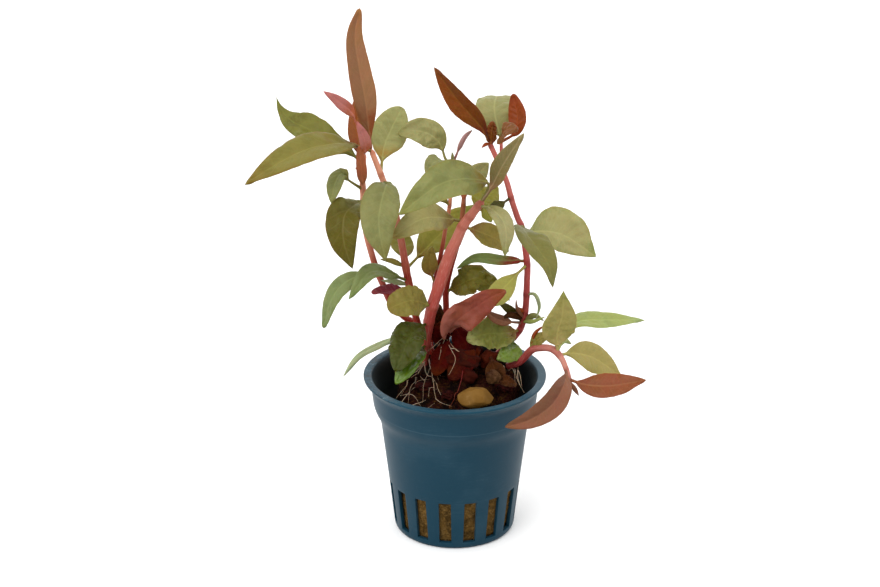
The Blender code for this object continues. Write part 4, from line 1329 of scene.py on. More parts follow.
@dataclass
class NetPot:
    """The blue net pot, in millimetres: flat lip, collar, tapered wall and slots."""

    height: float = 45.4
    wall: float = 1.1
    floor: float = 1.2
    lip_radius: float = 25.0
    lip_drop: float = 0.55
    lip_slope: float = 2.6
    collar_top: float = 23.0
    collar_foot: float = 22.2
    collar_height: float = 36.0
    step_radius: float = 20.4
    step_height: float = 32.7
    slot_top_radius: float = 18.2
    base_radius: float = 16.6
    chamfer: float = 0.8
    slot_count: int = 16
    slot_width: float = 3.4
    slot_bottom: float = 2.0
    slot_top: float = 14.6
    slot_turn: float = 2.4
    cutter_depth: float = 8.0
    segments: int = 176
    corner_steps: int = 6
    edge: float = 0.16
    paint: PlasticPaint = PlasticPaint()

    def wall_radius(self, height: float) -> float:
        """Return the outer radius of the wall at a height."""
        profile = ((0.0, self.base_radius), (self.slot_top, self.slot_top_radius),
                   (self.step_height, self.step_radius), (self.collar_height, self.collar_foot),
                   (self.height, self.collar_top))
        for (low, r_low), (high, r_high) in zip(profile, profile[1:]):
            if height <= high:
                return r_low + (r_high - r_low) * (height - low) / (high - low)
        return self.collar_top

    def profile(self) -> list[tuple[float, float]]:
        """Return the wall's section from the middle of the underside, over the lip, to the floor."""
        top = self.height
        under_lip = top - self.lip_slope
        inner_floor = self.wall_radius(self.floor) - self.wall
        return rounded((
            (self.base_radius - 4.0, 0.0, 0.0),
            (self.base_radius - 0.3, 0.0, 0.7),
            (self.base_radius + 0.08, self.chamfer, 0.4),
            (self.slot_top_radius, self.slot_top, 3.0),
            (self.step_radius, self.step_height, 1.9),
            (self.collar_foot, self.collar_height, 1.9),
            (self.collar_top, under_lip, 0.9),
            (self.lip_radius - 0.05, top - self.lip_drop, 0.2),
            (self.lip_radius, top - 0.02, 0.2),
            (self.collar_top - 0.2, top - 0.02, 0.5),
            (self.collar_top - self.wall, under_lip, 1.2),
            (self.collar_foot - self.wall, self.collar_height, 0.8),
            (self.step_radius - self.wall, self.step_height, 0.6),
            (inner_floor, self.floor, 0.7),
            (inner_floor - 4.0, self.floor, 0.0)), self.corner_steps)

    def build(self) -> None:
        """Turn the wall, cut its slots and round their edges."""
        body = surface("pot_wall", turned(self.profile(), self.segments))
        pot = grow("net_pot", body, slot_tree(), {
            "Count": self.slot_count, "Start": math.radians(self.slot_turn - 90), "Radius": self.base_radius * MM,
            "Middle": (self.slot_bottom + self.slot_top) / 2 * MM, "Depth": self.cutter_depth * MM,
            "Slot Width": self.slot_width * MM, "Slot Height": (self.slot_top - self.slot_bottom) * MM,
            "Material": self.paint.material()})
        self.soften(pot)
        settle(pot, "pot_blue", "pot")

    def soften(self, pot: bpy.types.Object) -> None:
        """Round the cut edges a little and shade the rest smooth."""
        bevel = pot.modifiers.new("edges", "BEVEL")
        bevel.width = self.edge * MM
        bevel.segments = 2
        bevel.limit_method = "ANGLE"
        bevel.angle_limit = math.radians(50)
        bevel.harden_normals = False
        bake_modifiers(pot)
        pot.data.shade_smooth()
        pot.data.set_sharp_from_angle(angle=math.radians(35))


def bake_modifiers(thing: bpy.types.Object) -> None:
    """Turn an object's modifiers into its mesh."""
    depsgraph = bpy.context.evaluated_depsgraph_get()
    mesh = bpy.data.meshes.new_from_object(thing.evaluated_get(depsgraph), preserve_all_data_layers=True,
                                           depsgraph=depsgraph)
    thing.modifiers.clear()
    thing.data = mesh


def fibre_tree() -> bpy.types.NodeTree:
    """Build the geometry tree that strews short bent fibres over a surface.

    Returns:
        The tree.
    """
    web = Web.group("strewn_fibres", Tree.SHAPE)
    ground = web.takes("Ground", Kind.SHAPE)
    density = web.takes("Density", default=1.0e6)
    seed = web.takes("Seed", Kind.COUNT, 3)
    length = web.takes("Length", default=0.004)
    bow = web.takes("Bow", default=0.0008)
    girth = web.takes("Girth", default=0.00004)
    coat = web.takes("Material", Kind.MATERIAL)
    lowest = web.takes("Lowest", default=0.0)
    _, _, up = web.parts(web.out("GeometryNodeInputPosition"))
    high = web.math("GREATER_THAN", up, lowest)
    scatter = web.node("GeometryNodeDistributePointsOnFaces", {"Mesh": ground, 1: high, 4: density, 6: seed})
    points, normal = Term(web, scatter.outputs["Points"]), Term(web, scatter.outputs["Normal"])
    arc = web.out("GeometryNodeCurveQuadraticBezier", {
        "Resolution": 4, "Start": web.place(length * -0.5, 0.0, bow * -0.3), "Middle": web.place(0.0, bow, bow),
        "End": web.place(length * 0.5, bow * -0.6, bow * -0.3)})
    ring = web.out("GeometryNodeCurvePrimitiveCircle", {"Resolution": 3, "Radius": girth})
    fibre = web.out("GeometryNodeCurveToMesh", {"Curve": arc, "Profile Curve": ring, "Fill Caps": True})
    upright = web.out("FunctionNodeAlignRotationToVector", {"Vector": normal}, axis="Z")
    spin = web.out("FunctionNodeRandomValue", {2: 0.0, 3: math.tau, 8: seed}, 1)
    about = web.out("FunctionNodeAxisAngleToRotation", {"Axis": (0.0, 0.0, 1.0), "Angle": spin})
    turn = web.out("FunctionNodeRotateRotation", {"Rotation": upright, "Rotate By": about}, rotation_space="LOCAL")
    size = web.out("FunctionNodeRandomValue", {2: 0.4, 3: 1.4, 8: seed + 7}, 1)
    fibres = web.out("GeometryNodeInstanceOnPoints", {
        "Points": points, "Instance": fibre, "Rotation": turn, "Scale": web.place(size, size, size)})
    return finish_tree(web, fibres, coat, 0.0)


@dataclass
class StoneWool:
    """The plug of stone wool in the pot, in millimetres, and the loose fibres on it."""

    pot: NetPot
    gap: float = 0.4
    segments: int = 150
    side_rings: int = 34
    top_rings: int = 30
    lumps: float = 0.55
    pits: float = 0.3
    fibre_length: float = 4.2
    fibre_lowest: float = 3.4
    fibre_density: float = 1.1e6
    paint: WoolPaint = WoolPaint()

    def radius(self, height: float) -> float:
        """Return the plug's radius at a height, just inside the pot's wall."""
        inset = self.pot.wall + self.gap
        if height <= self.pot.slot_top:
            return self.pot.wall_radius(height) - inset
        low = self.pot.wall_radius(self.pot.slot_top) - inset
        share = (height - self.pot.slot_top) / (self.pot.step_height - self.pot.slot_top)
        return low + (MOUND.radius - low) * min(share, 1.0)

    def rings(self) -> list[list[Vector]]:
        """Return the rings of the plug from its flat foot to its domed crown."""
        foot = self.pot.floor + self.gap
        rings = [self.ring(self.radius(foot) * share, foot, 0.0) for share in (0.3, 0.7)]
        for k in range(self.side_rings + 1):
            height = foot + (MOUND.shoulder - foot) * k / self.side_rings
            rings.append(self.ring(self.radius(height), height, min(height / self.pot.step_height, 1.0)))
        for k in range(self.top_rings):
            share = 1 - (k + 0.4) / (self.top_rings + 0.4)
            rings.append(self.ring(MOUND.radius * share, None, 1.0))
        return rings

    def ring(self, radius: float, height: Optional[float], shift: float) -> list[Vector]:
        """Return one ring, moved sideways towards the mound's axis by a share."""
        points = []
        for k in range(self.segments):
            turn = math.tau * k / self.segments
            x = MOUND.axis[0] * shift + radius * math.cos(turn)
            y = MOUND.axis[1] * shift + radius * math.sin(turn)
            points.append(Vector((x, y, MOUND.height(x, y) if height is None else height)))
        return points

    def build(self) -> None:
        """Make the plug, roughen it and strew its fibres."""
        plug = surface("wool_plug", self.rings())
        self.roughen(plug)
        settle(add_piece(plug, self.paint.material()), "wool_brown", "stone_wool")
        fibres = grow("wool_fibres", plug.copy(), fibre_tree(), {
            "Density": self.fibre_density, "Seed": 5, "Length": self.fibre_length * MM, "Bow": 0.7 * MM,
            "Lowest": self.fibre_lowest * MM,
            "Girth": 0.045 * MM, "Material": self.paint.material()})
        settle(fibres, "wool_brown")

    def roughen(self, plug: bpy.types.Mesh) -> None:
        """Push the plug's surface in and out by a coarse and a fine noise."""
        normals = [vertex.normal.copy() for vertex in plug.vertices]
        for vertex, normal in zip(plug.vertices, normals):
            place = vertex.co / MM
            on_top = min(max((place.z - MOUND.shoulder + 2.0) / 4.0, 0.0), 1.0)
            coarse = noise.fractal(place * 0.35, 0.6, 2.1, 4) * self.lumps * (0.25 + 0.75 * on_top)
            fine = noise.fractal(place * 1.7, 0.8, 2.0, 3) * self.pits * (0.4 + 0.6 * on_top)
            push = coarse + fine
            if not on_top:
                push = min(push, 0.15)
            if place.z > self.pot.floor + self.gap + 0.2:
                vertex.co += normal * push * MM


FLAT_SHARE = 0.85
PEBBLE_FLATS = ((0.8, -0.5, 0.35, 0.74), (-0.75, -0.6, 0.3, 0.74), (0.1, -0.8, 0.6, 0.78), (0.1, 0.3, 1, 0.8),
                (-0.6, 0.2, 0.8, 0.78), (0.9, 0.3, 0.4, 0.8))


@dataclass
class Lump:
    """A small lump on the stone wool, in millimetres, turned about the vertical."""

    name: str
    node: str
    slot: str
    centre: tuple
    size: tuple
    turn: float
    paint: EarthPaint
    dent: float = 0.12
    folds: float = 0.0
    bumps: float = 0.0
    flats: tuple = ()
    levels: int = 5

    def top(self, x: float, y: float) -> float:
        """Return the height of the lump's upper side at a place, or 0 beside the lump."""
        away = Matrix.Rotation(math.radians(-self.turn), 2) @ (Vector((x, y)) - Vector(self.centre[:2]))
        free = 1.0 - (2 * away.x / self.size[0]) ** 2 - (2 * away.y / self.size[1]) ** 2
        return self.centre[2] + self.size[2] / 2 * math.sqrt(free) if free > 0 else 0.0

    def build(self) -> None:
        """Make the lump from a ball with dents, flat sides and, on a dead leaf, folds."""
        shape = bmesh.new()
        bmesh.ops.create_icosphere(shape, subdivisions=self.levels, radius=1.0)
        for corner in shape.verts:
            x, y, z = corner.co
            dents = self.dent * (0.5 + 0.5 * math.sin(4 * x + 3 * y + 5 * z))
            rough = 0.02 * noise.fractal(corner.co * 5.0, 0.7, 2.0, 4)
            rough += self.bumps * noise.noise(corner.co * 1.6 + Vector(self.centre))
            crease = self.folds * abs(math.sin(5.0 * y + 1.5 * x + 2.0 * noise.noise(corner.co * 1.4)))
            corner.co *= 1 - dents + rough - crease
            for *way, reach in self.flats:
                side = Vector(way).normalized()
                corner.co -= side * max(corner.co.dot(side) - reach, 0.0) * FLAT_SHARE
        place = (Matrix.Translation(Vector(self.centre) * MM) @ Matrix.Rotation(math.radians(self.turn), 4, "Z")
                 @ Matrix.Diagonal((*[side * MM / 2 for side in self.size], 1)))
        bmesh.ops.transform(shape, matrix=place, verts=shape.verts)
        settle(add_piece(smooth_mesh(self.name, shape), self.paint.material()), self.slot,
               *([self.node] if self.node else []))


@dataclass
class Studio:
    """The pale floor, the soft light and the camera, in millimetres and degrees."""

    camera_place: tuple = (-4.04, -570.45, 306.51)
    camera_tilt: float = 22.6
    lens: float = 93.76
    sensor: float = 36.0
    floor_size: float = 6000.0
    floor_white: float = 0.99
    floor_dim: float = 0.6
    sky: float = 1.45
    front_sky: float = 0.75
    key_power: float = 7.5
    key_size: float = 900.0
    key_place: tuple = (-650.0, -900.0, 900.0)

    def build(self) -> None:
        """Set the floor, the light and the camera."""
        scene = bpy.context.scene
        scene.view_settings.view_transform = "Standard"
        self.lay_floor()
        self.light(scene)
        lens = bpy.data.cameras.new("camera")
        lens.lens = self.lens
        lens.sensor_width = self.sensor
        lens.clip_start = 0.01
        camera = bpy.data.objects.new("camera", lens)
        camera.location = Vector(self.camera_place) * MM
        camera.rotation_euler = (math.radians(90 - self.camera_tilt), 0, 0)
        scene.collection.objects.link(camera)
        scene.camera = camera

    def lay_floor(self) -> None:
        """Lay the floor just under the pot."""
        half = self.floor_size / 2 * MM
        mesh = bpy.data.meshes.new("floor")
        corners = [(-half, -half), (half, -half), (half, half), (-half, half)]
        mesh.from_pydata([(x, y, -0.1 * MM) for x, y in corners], [], [(0, 1, 2, 3)])
        made, web, shader = new_material("floor_white")
        soft = web.noise(object_place(web), 3.0, 2.0)
        seen = web.out("ShaderNodeLightPath", give="Is Camera Ray")
        level = self.floor_dim + (soft - 0.5) * 0.01 + seen * (self.floor_white - self.floor_dim)
        web.wire(web.out("ShaderNodeCombineColor", {0: level, 1: level, 2: level}), shader.inputs["Base Color"])
        shader.inputs["Roughness"].default_value = 0.9
        shader.inputs["Specular IOR Level"].default_value = 0.1
        mesh.materials.append(made)
        floor = bpy.data.objects.new("floor", mesh)
        bpy.context.scene.collection.objects.link(floor)

    def light(self, scene: bpy.types.Scene) -> None:
        """Light the scene from all round, and a little more from the upper left."""
        world = bpy.data.worlds.new("studio_white")
        world.use_nodes = True
        web = Web(world.node_tree)
        side, back, up = web.parts(web.out("ShaderNodeTexCoord", give="Generated"))
        around = back + up * 0.8 + web.math("ABSOLUTE", side) * 0.6
        strength = web.rise(around, -0.8, 0.5, self.front_sky, self.sky)
        web.wire(strength, world.node_tree.nodes["Background"].inputs["Strength"])
        web.wire((1.0, 1.0, 1.0, 1.0), world.node_tree.nodes["Background"].inputs["Color"])
        scene.world = world
        lamp = bpy.data.lights.new("key", "AREA")
        lamp.size = self.key_size * MM
        lamp.energy = self.key_power
        key = bpy.data.objects.new("key", lamp)
        key.location = Vector(self.key_place) * MM
        aim = Vector((0.0, 0.0, 70.0)) * MM - key.location
        key.rotation_euler = aim.to_track_quat("-Z", "Y").to_euler()
        scene.collection.objects.link(key)


# A paint's shade sets a painted shade on one half of the blade.
RUST_TALL = LeafPaint("rust_tall", "leaf_rust", (160, 116, 84), (142, 80, 48), (162, 112, 64), blotches=0.3,
                      shade=-0.2)
RUST_DEEP = LeafPaint("rust_deep", "leaf_rust", (136, 78, 30), (112, 54, 24), (128, 72, 32), vein=(166, 116, 56),
                      shade=0.3)
RUST_BRIGHT = LeafPaint("rust_bright", "leaf_rust", (148, 74, 42), (140, 75, 40), (142, 66, 38))
SALMON = LeafPaint("salmon", "leaf_rust", (134, 88, 56), (126, 76, 40), (130, 84, 56), glow=0.3)
SHEATH = LeafPaint("leaf_sheath", "leaf_rust", (176, 108, 74), (206, 128, 104), (150, 84, 52), glow=0.3)
TERRACOTTA = LeafPaint("terracotta", "leaf_rust", (148, 88, 62), (140, 80, 60), (140, 82, 55), vein=(185, 130, 90))
CLAY = LeafPaint("clay", "leaf_rust", (134, 90, 70), (146, 102, 82), (126, 86, 60), blotches=0.3, shade=0.3)
PINK_TIP = LeafPaint("pink_tip", "leaf_pink", (190, 122, 112), (176, 96, 50), (185, 112, 108), foot_reach=0.55)
GREY_PINK = LeafPaint("grey_pink", "leaf_pink", (165, 125, 120), (150, 95, 90), (160, 130, 120))
CRIMSON = LeafPaint("crimson", "leaf_pink", (146, 68, 78), (130, 50, 60), (150, 75, 80))
ROSE = LeafPaint("rose", "leaf_pink", (158, 90, 76), (192, 126, 110), (136, 74, 50), blotch=(140, 70, 54),
                 foot_reach=0.7, tip_from=0.5)
OLIVE_LONG = LeafPaint("olive_long", "leaf_olive", (136, 128, 68), (128, 104, 54), (126, 100, 40), edge=0.5)
OLIVE_HOOK = LeafPaint("olive_hook", "leaf_olive", (124, 122, 60), (104, 96, 36), (100, 110, 50),
                       blotch=(92, 82, 30))
STRAW_GREEN = LeafPaint("straw_green", "leaf_olive", (158, 154, 102), (134, 124, 70), (144, 142, 84))
BRONZE_GREEN = LeafPaint("bronze_green", "leaf_olive", (132, 120, 80), (140, 108, 76), (142, 126, 82),
                         vein=(204, 178, 138))
BROAD = LeafPaint("broad_green", "leaf_olive", (178, 172, 114), (154, 156, 98), (114, 140, 48), tip_from=0.8)
SAGE = LeafPaint("sage", "leaf_green", (142, 144, 90), (134, 118, 56), (132, 130, 66), edge=0.4)
SAGE_PALE = LeafPaint("sage_pale", "leaf_green", (166, 160, 112), (146, 142, 90), (130, 130, 70))
SAGE_SOFT = LeafPaint("sage_soft", "leaf_green", (146, 146, 94), (132, 134, 86), (126, 116, 60))
SAGE_LIGHT = LeafPaint("sage_light", "leaf_green", (132, 144, 92), (112, 124, 70), (118, 134, 78))
SAGE_DEEP = LeafPaint("sage_deep", "leaf_green", (142, 142, 94), (162, 134, 78), (136, 134, 86))
SAGE_OLIVE = LeafPaint("sage_olive", "leaf_green", (130, 126, 72), (126, 126, 76), (118, 118, 74))
GREY_OLIVE = LeafPaint("grey_olive", "leaf_green", (176, 168, 110), (134, 106, 54), (152, 130, 68), edge=0.45)
TWO_TONE = LeafPaint("two_tone", "leaf_green", (130, 146, 86), (136, 38, 40), (128, 148, 84), foot_reach=0.5)
FERN = LeafPaint("fern", "leaf_green", (132, 134, 70), (146, 116, 70), (170, 168, 114), blotch=(110, 112, 52))
MOSS_LIGHT = LeafPaint("moss_light", "leaf_green", (118, 112, 54), (116, 102, 48), (122, 124, 74),
                       blotch=(88, 90, 42))
WET_GREEN = LeafPaint("wet_green", "leaf_green", (88, 112, 40), (66, 76, 28), (120, 148, 66),
                      blotch=(108, 122, 60), rough=0.36, wet=0.3)
LIVE_GREEN = LeafPaint("live_green", "leaf_green", (122, 142, 66), (104, 118, 54), (140, 154, 88),
                      blotch=(90, 110, 40), rough=0.36, wet=0.3)
MOSS = LeafPaint("moss", "leaf_dark", (80, 84, 38), (84, 84, 40), (72, 82, 34), blotch=(100, 104, 58))
BRONZE = LeafPaint("bronze", "leaf_dark", (104, 96, 42), (142, 142, 86), (92, 86, 36), foot_reach=0.45,
                   vein=(150, 138, 84))
BROWN_GREEN = LeafPaint("brown_green", "leaf_dark", (160, 142, 76), (150, 108, 72), (142, 136, 70),
                        blotch=(126, 112, 56))
BRONZE_DARK = LeafPaint("bronze_dark", "leaf_dark", (88, 84, 48), (84, 66, 40), (80, 80, 44))
LIME_OCHRE = LeafPaint("lime_ochre", "leaf_ochre", (168, 166, 108), (174, 134, 54), (170, 170, 112))
YELLOW_OLIVE = LeafPaint("yellow_olive", "leaf_ochre", (150, 146, 66), (134, 112, 46), (148, 150, 78))
BACK_OLIVE = LeafPaint("back_olive", "leaf_ochre", (136, 130, 62), (134, 116, 54), (130, 130, 66))
OCHRE = LeafPaint("ochre", "leaf_ochre", (146, 134, 72), (138, 134, 76), (132, 116, 58))
YELLOW = LeafPaint("yellow", "leaf_ochre", (178, 174, 94), (138, 120, 72), (170, 174, 106))
SAND_GREEN = LeafPaint("sand_green", "leaf_ochre", (162, 152, 92), (172, 154, 100), (136, 142, 72),
                       blotch=(122, 114, 56))
SAND = LeafPaint("sand", "leaf_ochre", (174, 160, 96), (160, 150, 86), (166, 150, 84))
PALE_GREEN = LeafPaint("pale_green", "leaf_pale", (166, 176, 132), (150, 160, 110), (176, 186, 146))
PALE_LIME = LeafPaint("pale_lime", "leaf_pale", (166, 176, 102), (168, 170, 90), (170, 184, 124))
DEAD_BROWN = LeafPaint("dead_brown_leaf", "dead_brown", (80, 46, 30), (70, 36, 24), (66, 40, 26),
                       blotch=(50, 28, 18), rough=0.55, glow=0.05, shine=0.06)
DEAD_RED = LeafPaint("dead_red_leaf", "dead_red", (76, 46, 22), (86, 52, 28), (64, 39, 20), blotch=(94, 60, 38),
                     rough=0.6, glow=0.05, shine=0.03)
RED_BROWN = LeafPaint("red_brown_leaf", "dead_red", (88, 46, 30), (78, 40, 26), (98, 56, 40),
                      blotch=(66, 34, 28), rough=0.6, glow=0.05, shine=0.03)
UMBER = LeafPaint("umber_leaf", "dead_brown", (84, 58, 44), (60, 40, 28), (104, 80, 62), blotch=(52, 34, 24),
                  rough=0.5, glow=0.05, shine=0.06)
TAN_LEAF = LeafPaint("tan_dead_leaf", "dead_brown", (98, 68, 40), (84, 54, 34), (110, 80, 48),
                     blotch=(60, 38, 24), rough=0.5, glow=0.05, shine=0.06)
UMBER_CURL = EarthPaint("umber_curl", (96, 72, 56), (60, 42, 32), (128, 102, 80), 420.0, 0.6, 0.35, 0.5)
TAN_STONE = EarthPaint("tan_stone", (142, 108, 64), (114, 82, 46), (176, 144, 100), 200.0, 0.5, 0.25, 0.45, 0.06)
RED_MASH = EarthPaint("red_mash", (76, 48, 21), (50, 31, 14), (102, 74, 46), 240.0, 0.6, 0.35, 0.8)
RED_BROWN_MASH = EarthPaint("red_brown_mash", (78, 36, 18), (48, 20, 10), (108, 64, 42), 300.0, 0.6, 0.4, 0.8)
BROWN_MASH = EarthPaint("brown_mash", (86, 50, 34), (56, 30, 20), (112, 74, 52), 260.0, 0.6, 0.35, 0.8)
MAT_BROWN = EarthPaint("mat_brown", (64, 42, 25), (38, 25, 14), (104, 78, 50), 700.0, 0.8, 0.5, 0.8)

LEFT_STEM = StemPaint("left_stem_red", "stem_red", (168, 62, 54), (246, 174, 142), (236, 154, 134), (190, 104, 80),
                      0.62)
PINK_STEM = StemPaint("middle_stem_pink", "stem_pink", (198, 92, 84), (208, 126, 108), (226, 156, 142),
                      (170, 90, 74), 0.6)
DARK_STEM = StemPaint("dark_stem_red", "stem_red", (164, 58, 50), (250, 178, 134), (204, 110, 94), (156, 70, 56), 0.7)
BACK_STEM = StemPaint("back_stem_red", "stem_red", (164, 64, 56), (186, 138, 92), (196, 96, 84), (144, 56, 48), 0.85)
RIGHT_STEM = StemPaint("right_stem_red", "stem_red", (192, 86, 84), (208, 114, 104), (226, 148, 140), (132, 52, 46),
                       0.6)
LOW_STEM = StemPaint("low_stem_red", "stem_red", (166, 66, 66), (212, 144, 128), (220, 150, 138), (160, 84, 72), 0.45)
ROOT_WHITE = StemPaint("root_white", "root_pale", (204, 182, 156), (188, 160, 130), (226, 208, 186),
                       (196, 174, 144), rough=0.5)
ROOT_RED = StemPaint("root_red", "root_pale", (116, 42, 34), (130, 70, 54), (130, 62, 50), (110, 44, 36))

STEMS = (
    Stem(
        "stem_left",
        ((-8.8, 11, 0), (-10.8, 11.5, 54.5), (-14, 10, 58), (-17.5, 8, 63), (-19.5, 6, 69),
         (-21.5, 5, 75), (-24, 3, 86.5), (-24.5, 2, 97), (-24.5, 1, 104), (-24, 0, 109)),
        (1.7, 1.7, 1.5), LEFT_STEM,
    ),
    Stem(
        "stem_left_back",
        ((-6.2, 8.5, 0), (-10, 8.8, 56), (-11.5, 7, 64), (-12.5, 6, 69.5), (-13.5, 5, 76),
         (-14.5, 4, 83), (-15.5, 4, 88.5), (-17, 4, 94.5), (-19, 3, 100), (-22.3, 3.3, 109)),
        (1.8, 2.0, 1.4), LEFT_STEM,
    ),
    Stem(
        "stem_middle",
        ((-8, 5, 0), (-8, 4.5, 50), (-7.7, 4, 54), (-6.5, 2, 63), (-4, 0, 72),
         (-1.5, -2, 81), (0.3, -3, 85.5), (2, -4, 90), (4.5, -5, 94), (7.2, -6, 98)),
        (1.8, 3.2, 1.9), PINK_STEM,
    ),
    Stem(
        "stem_middle_back",
        ((-3.8, 10, 0), (-3, 8, 52.5), (-2.4, 7, 61), (-2.4, 6, 67.5), (-1.3, 5, 74),
         (0.3, 4, 80.5), (1.6, 4, 86.5), (2.1, 4, 91.5), (2.4, 4, 96)),
        (1.6, 1.7, 1.2), BACK_STEM,
    ),
    Stem(
        "stem_thin",
        ((-6.6, 13, 0), (-6.4, 13, 58.5), (-5.4, 11, 68), (-4.4, 10, 73.5), (-3.2, 9, 80),
         (-2.4, 8, 86), (-1.4, 8, 92), (-0.8, 8, 103)),
        (1.2, 1.2, 0.9), DARK_STEM,
    ),
    Stem(
        "stem_right",
        ((11.5, 9.5, 0), (17.3, 9, 53.5), (18.6, 8, 57), (19.4, 7, 62), (19.6, 6, 70),
         (19.5, 5, 76), (18, 4, 86), (16.7, 4, 89.5), (15, 3, 95), (13.5, 3, 100.5),
         (10.4, 2, 108), (8.8, 2, 111.5)),
        (1.8, 1.7, 1.3), RIGHT_STEM,
        branches=(((13.7, 3, 99.5), (12.4, 4, 105.5), (12.1, 4, 111)),),
    ),
    Stem(
        "stem_low",
        ((14.5, 2.5, 0), (17.9, 1, 48.5), (20.3, -1, 52.3), (22, -2, 53.8), (26, -5, 55),
         (28.6, -7, 53.2), (30, -9, 50.5), (30.6, -10, 49), (31.2, -10, 46)),
        (1.9, 1.9, 0.9), LOW_STEM,
    ),
)

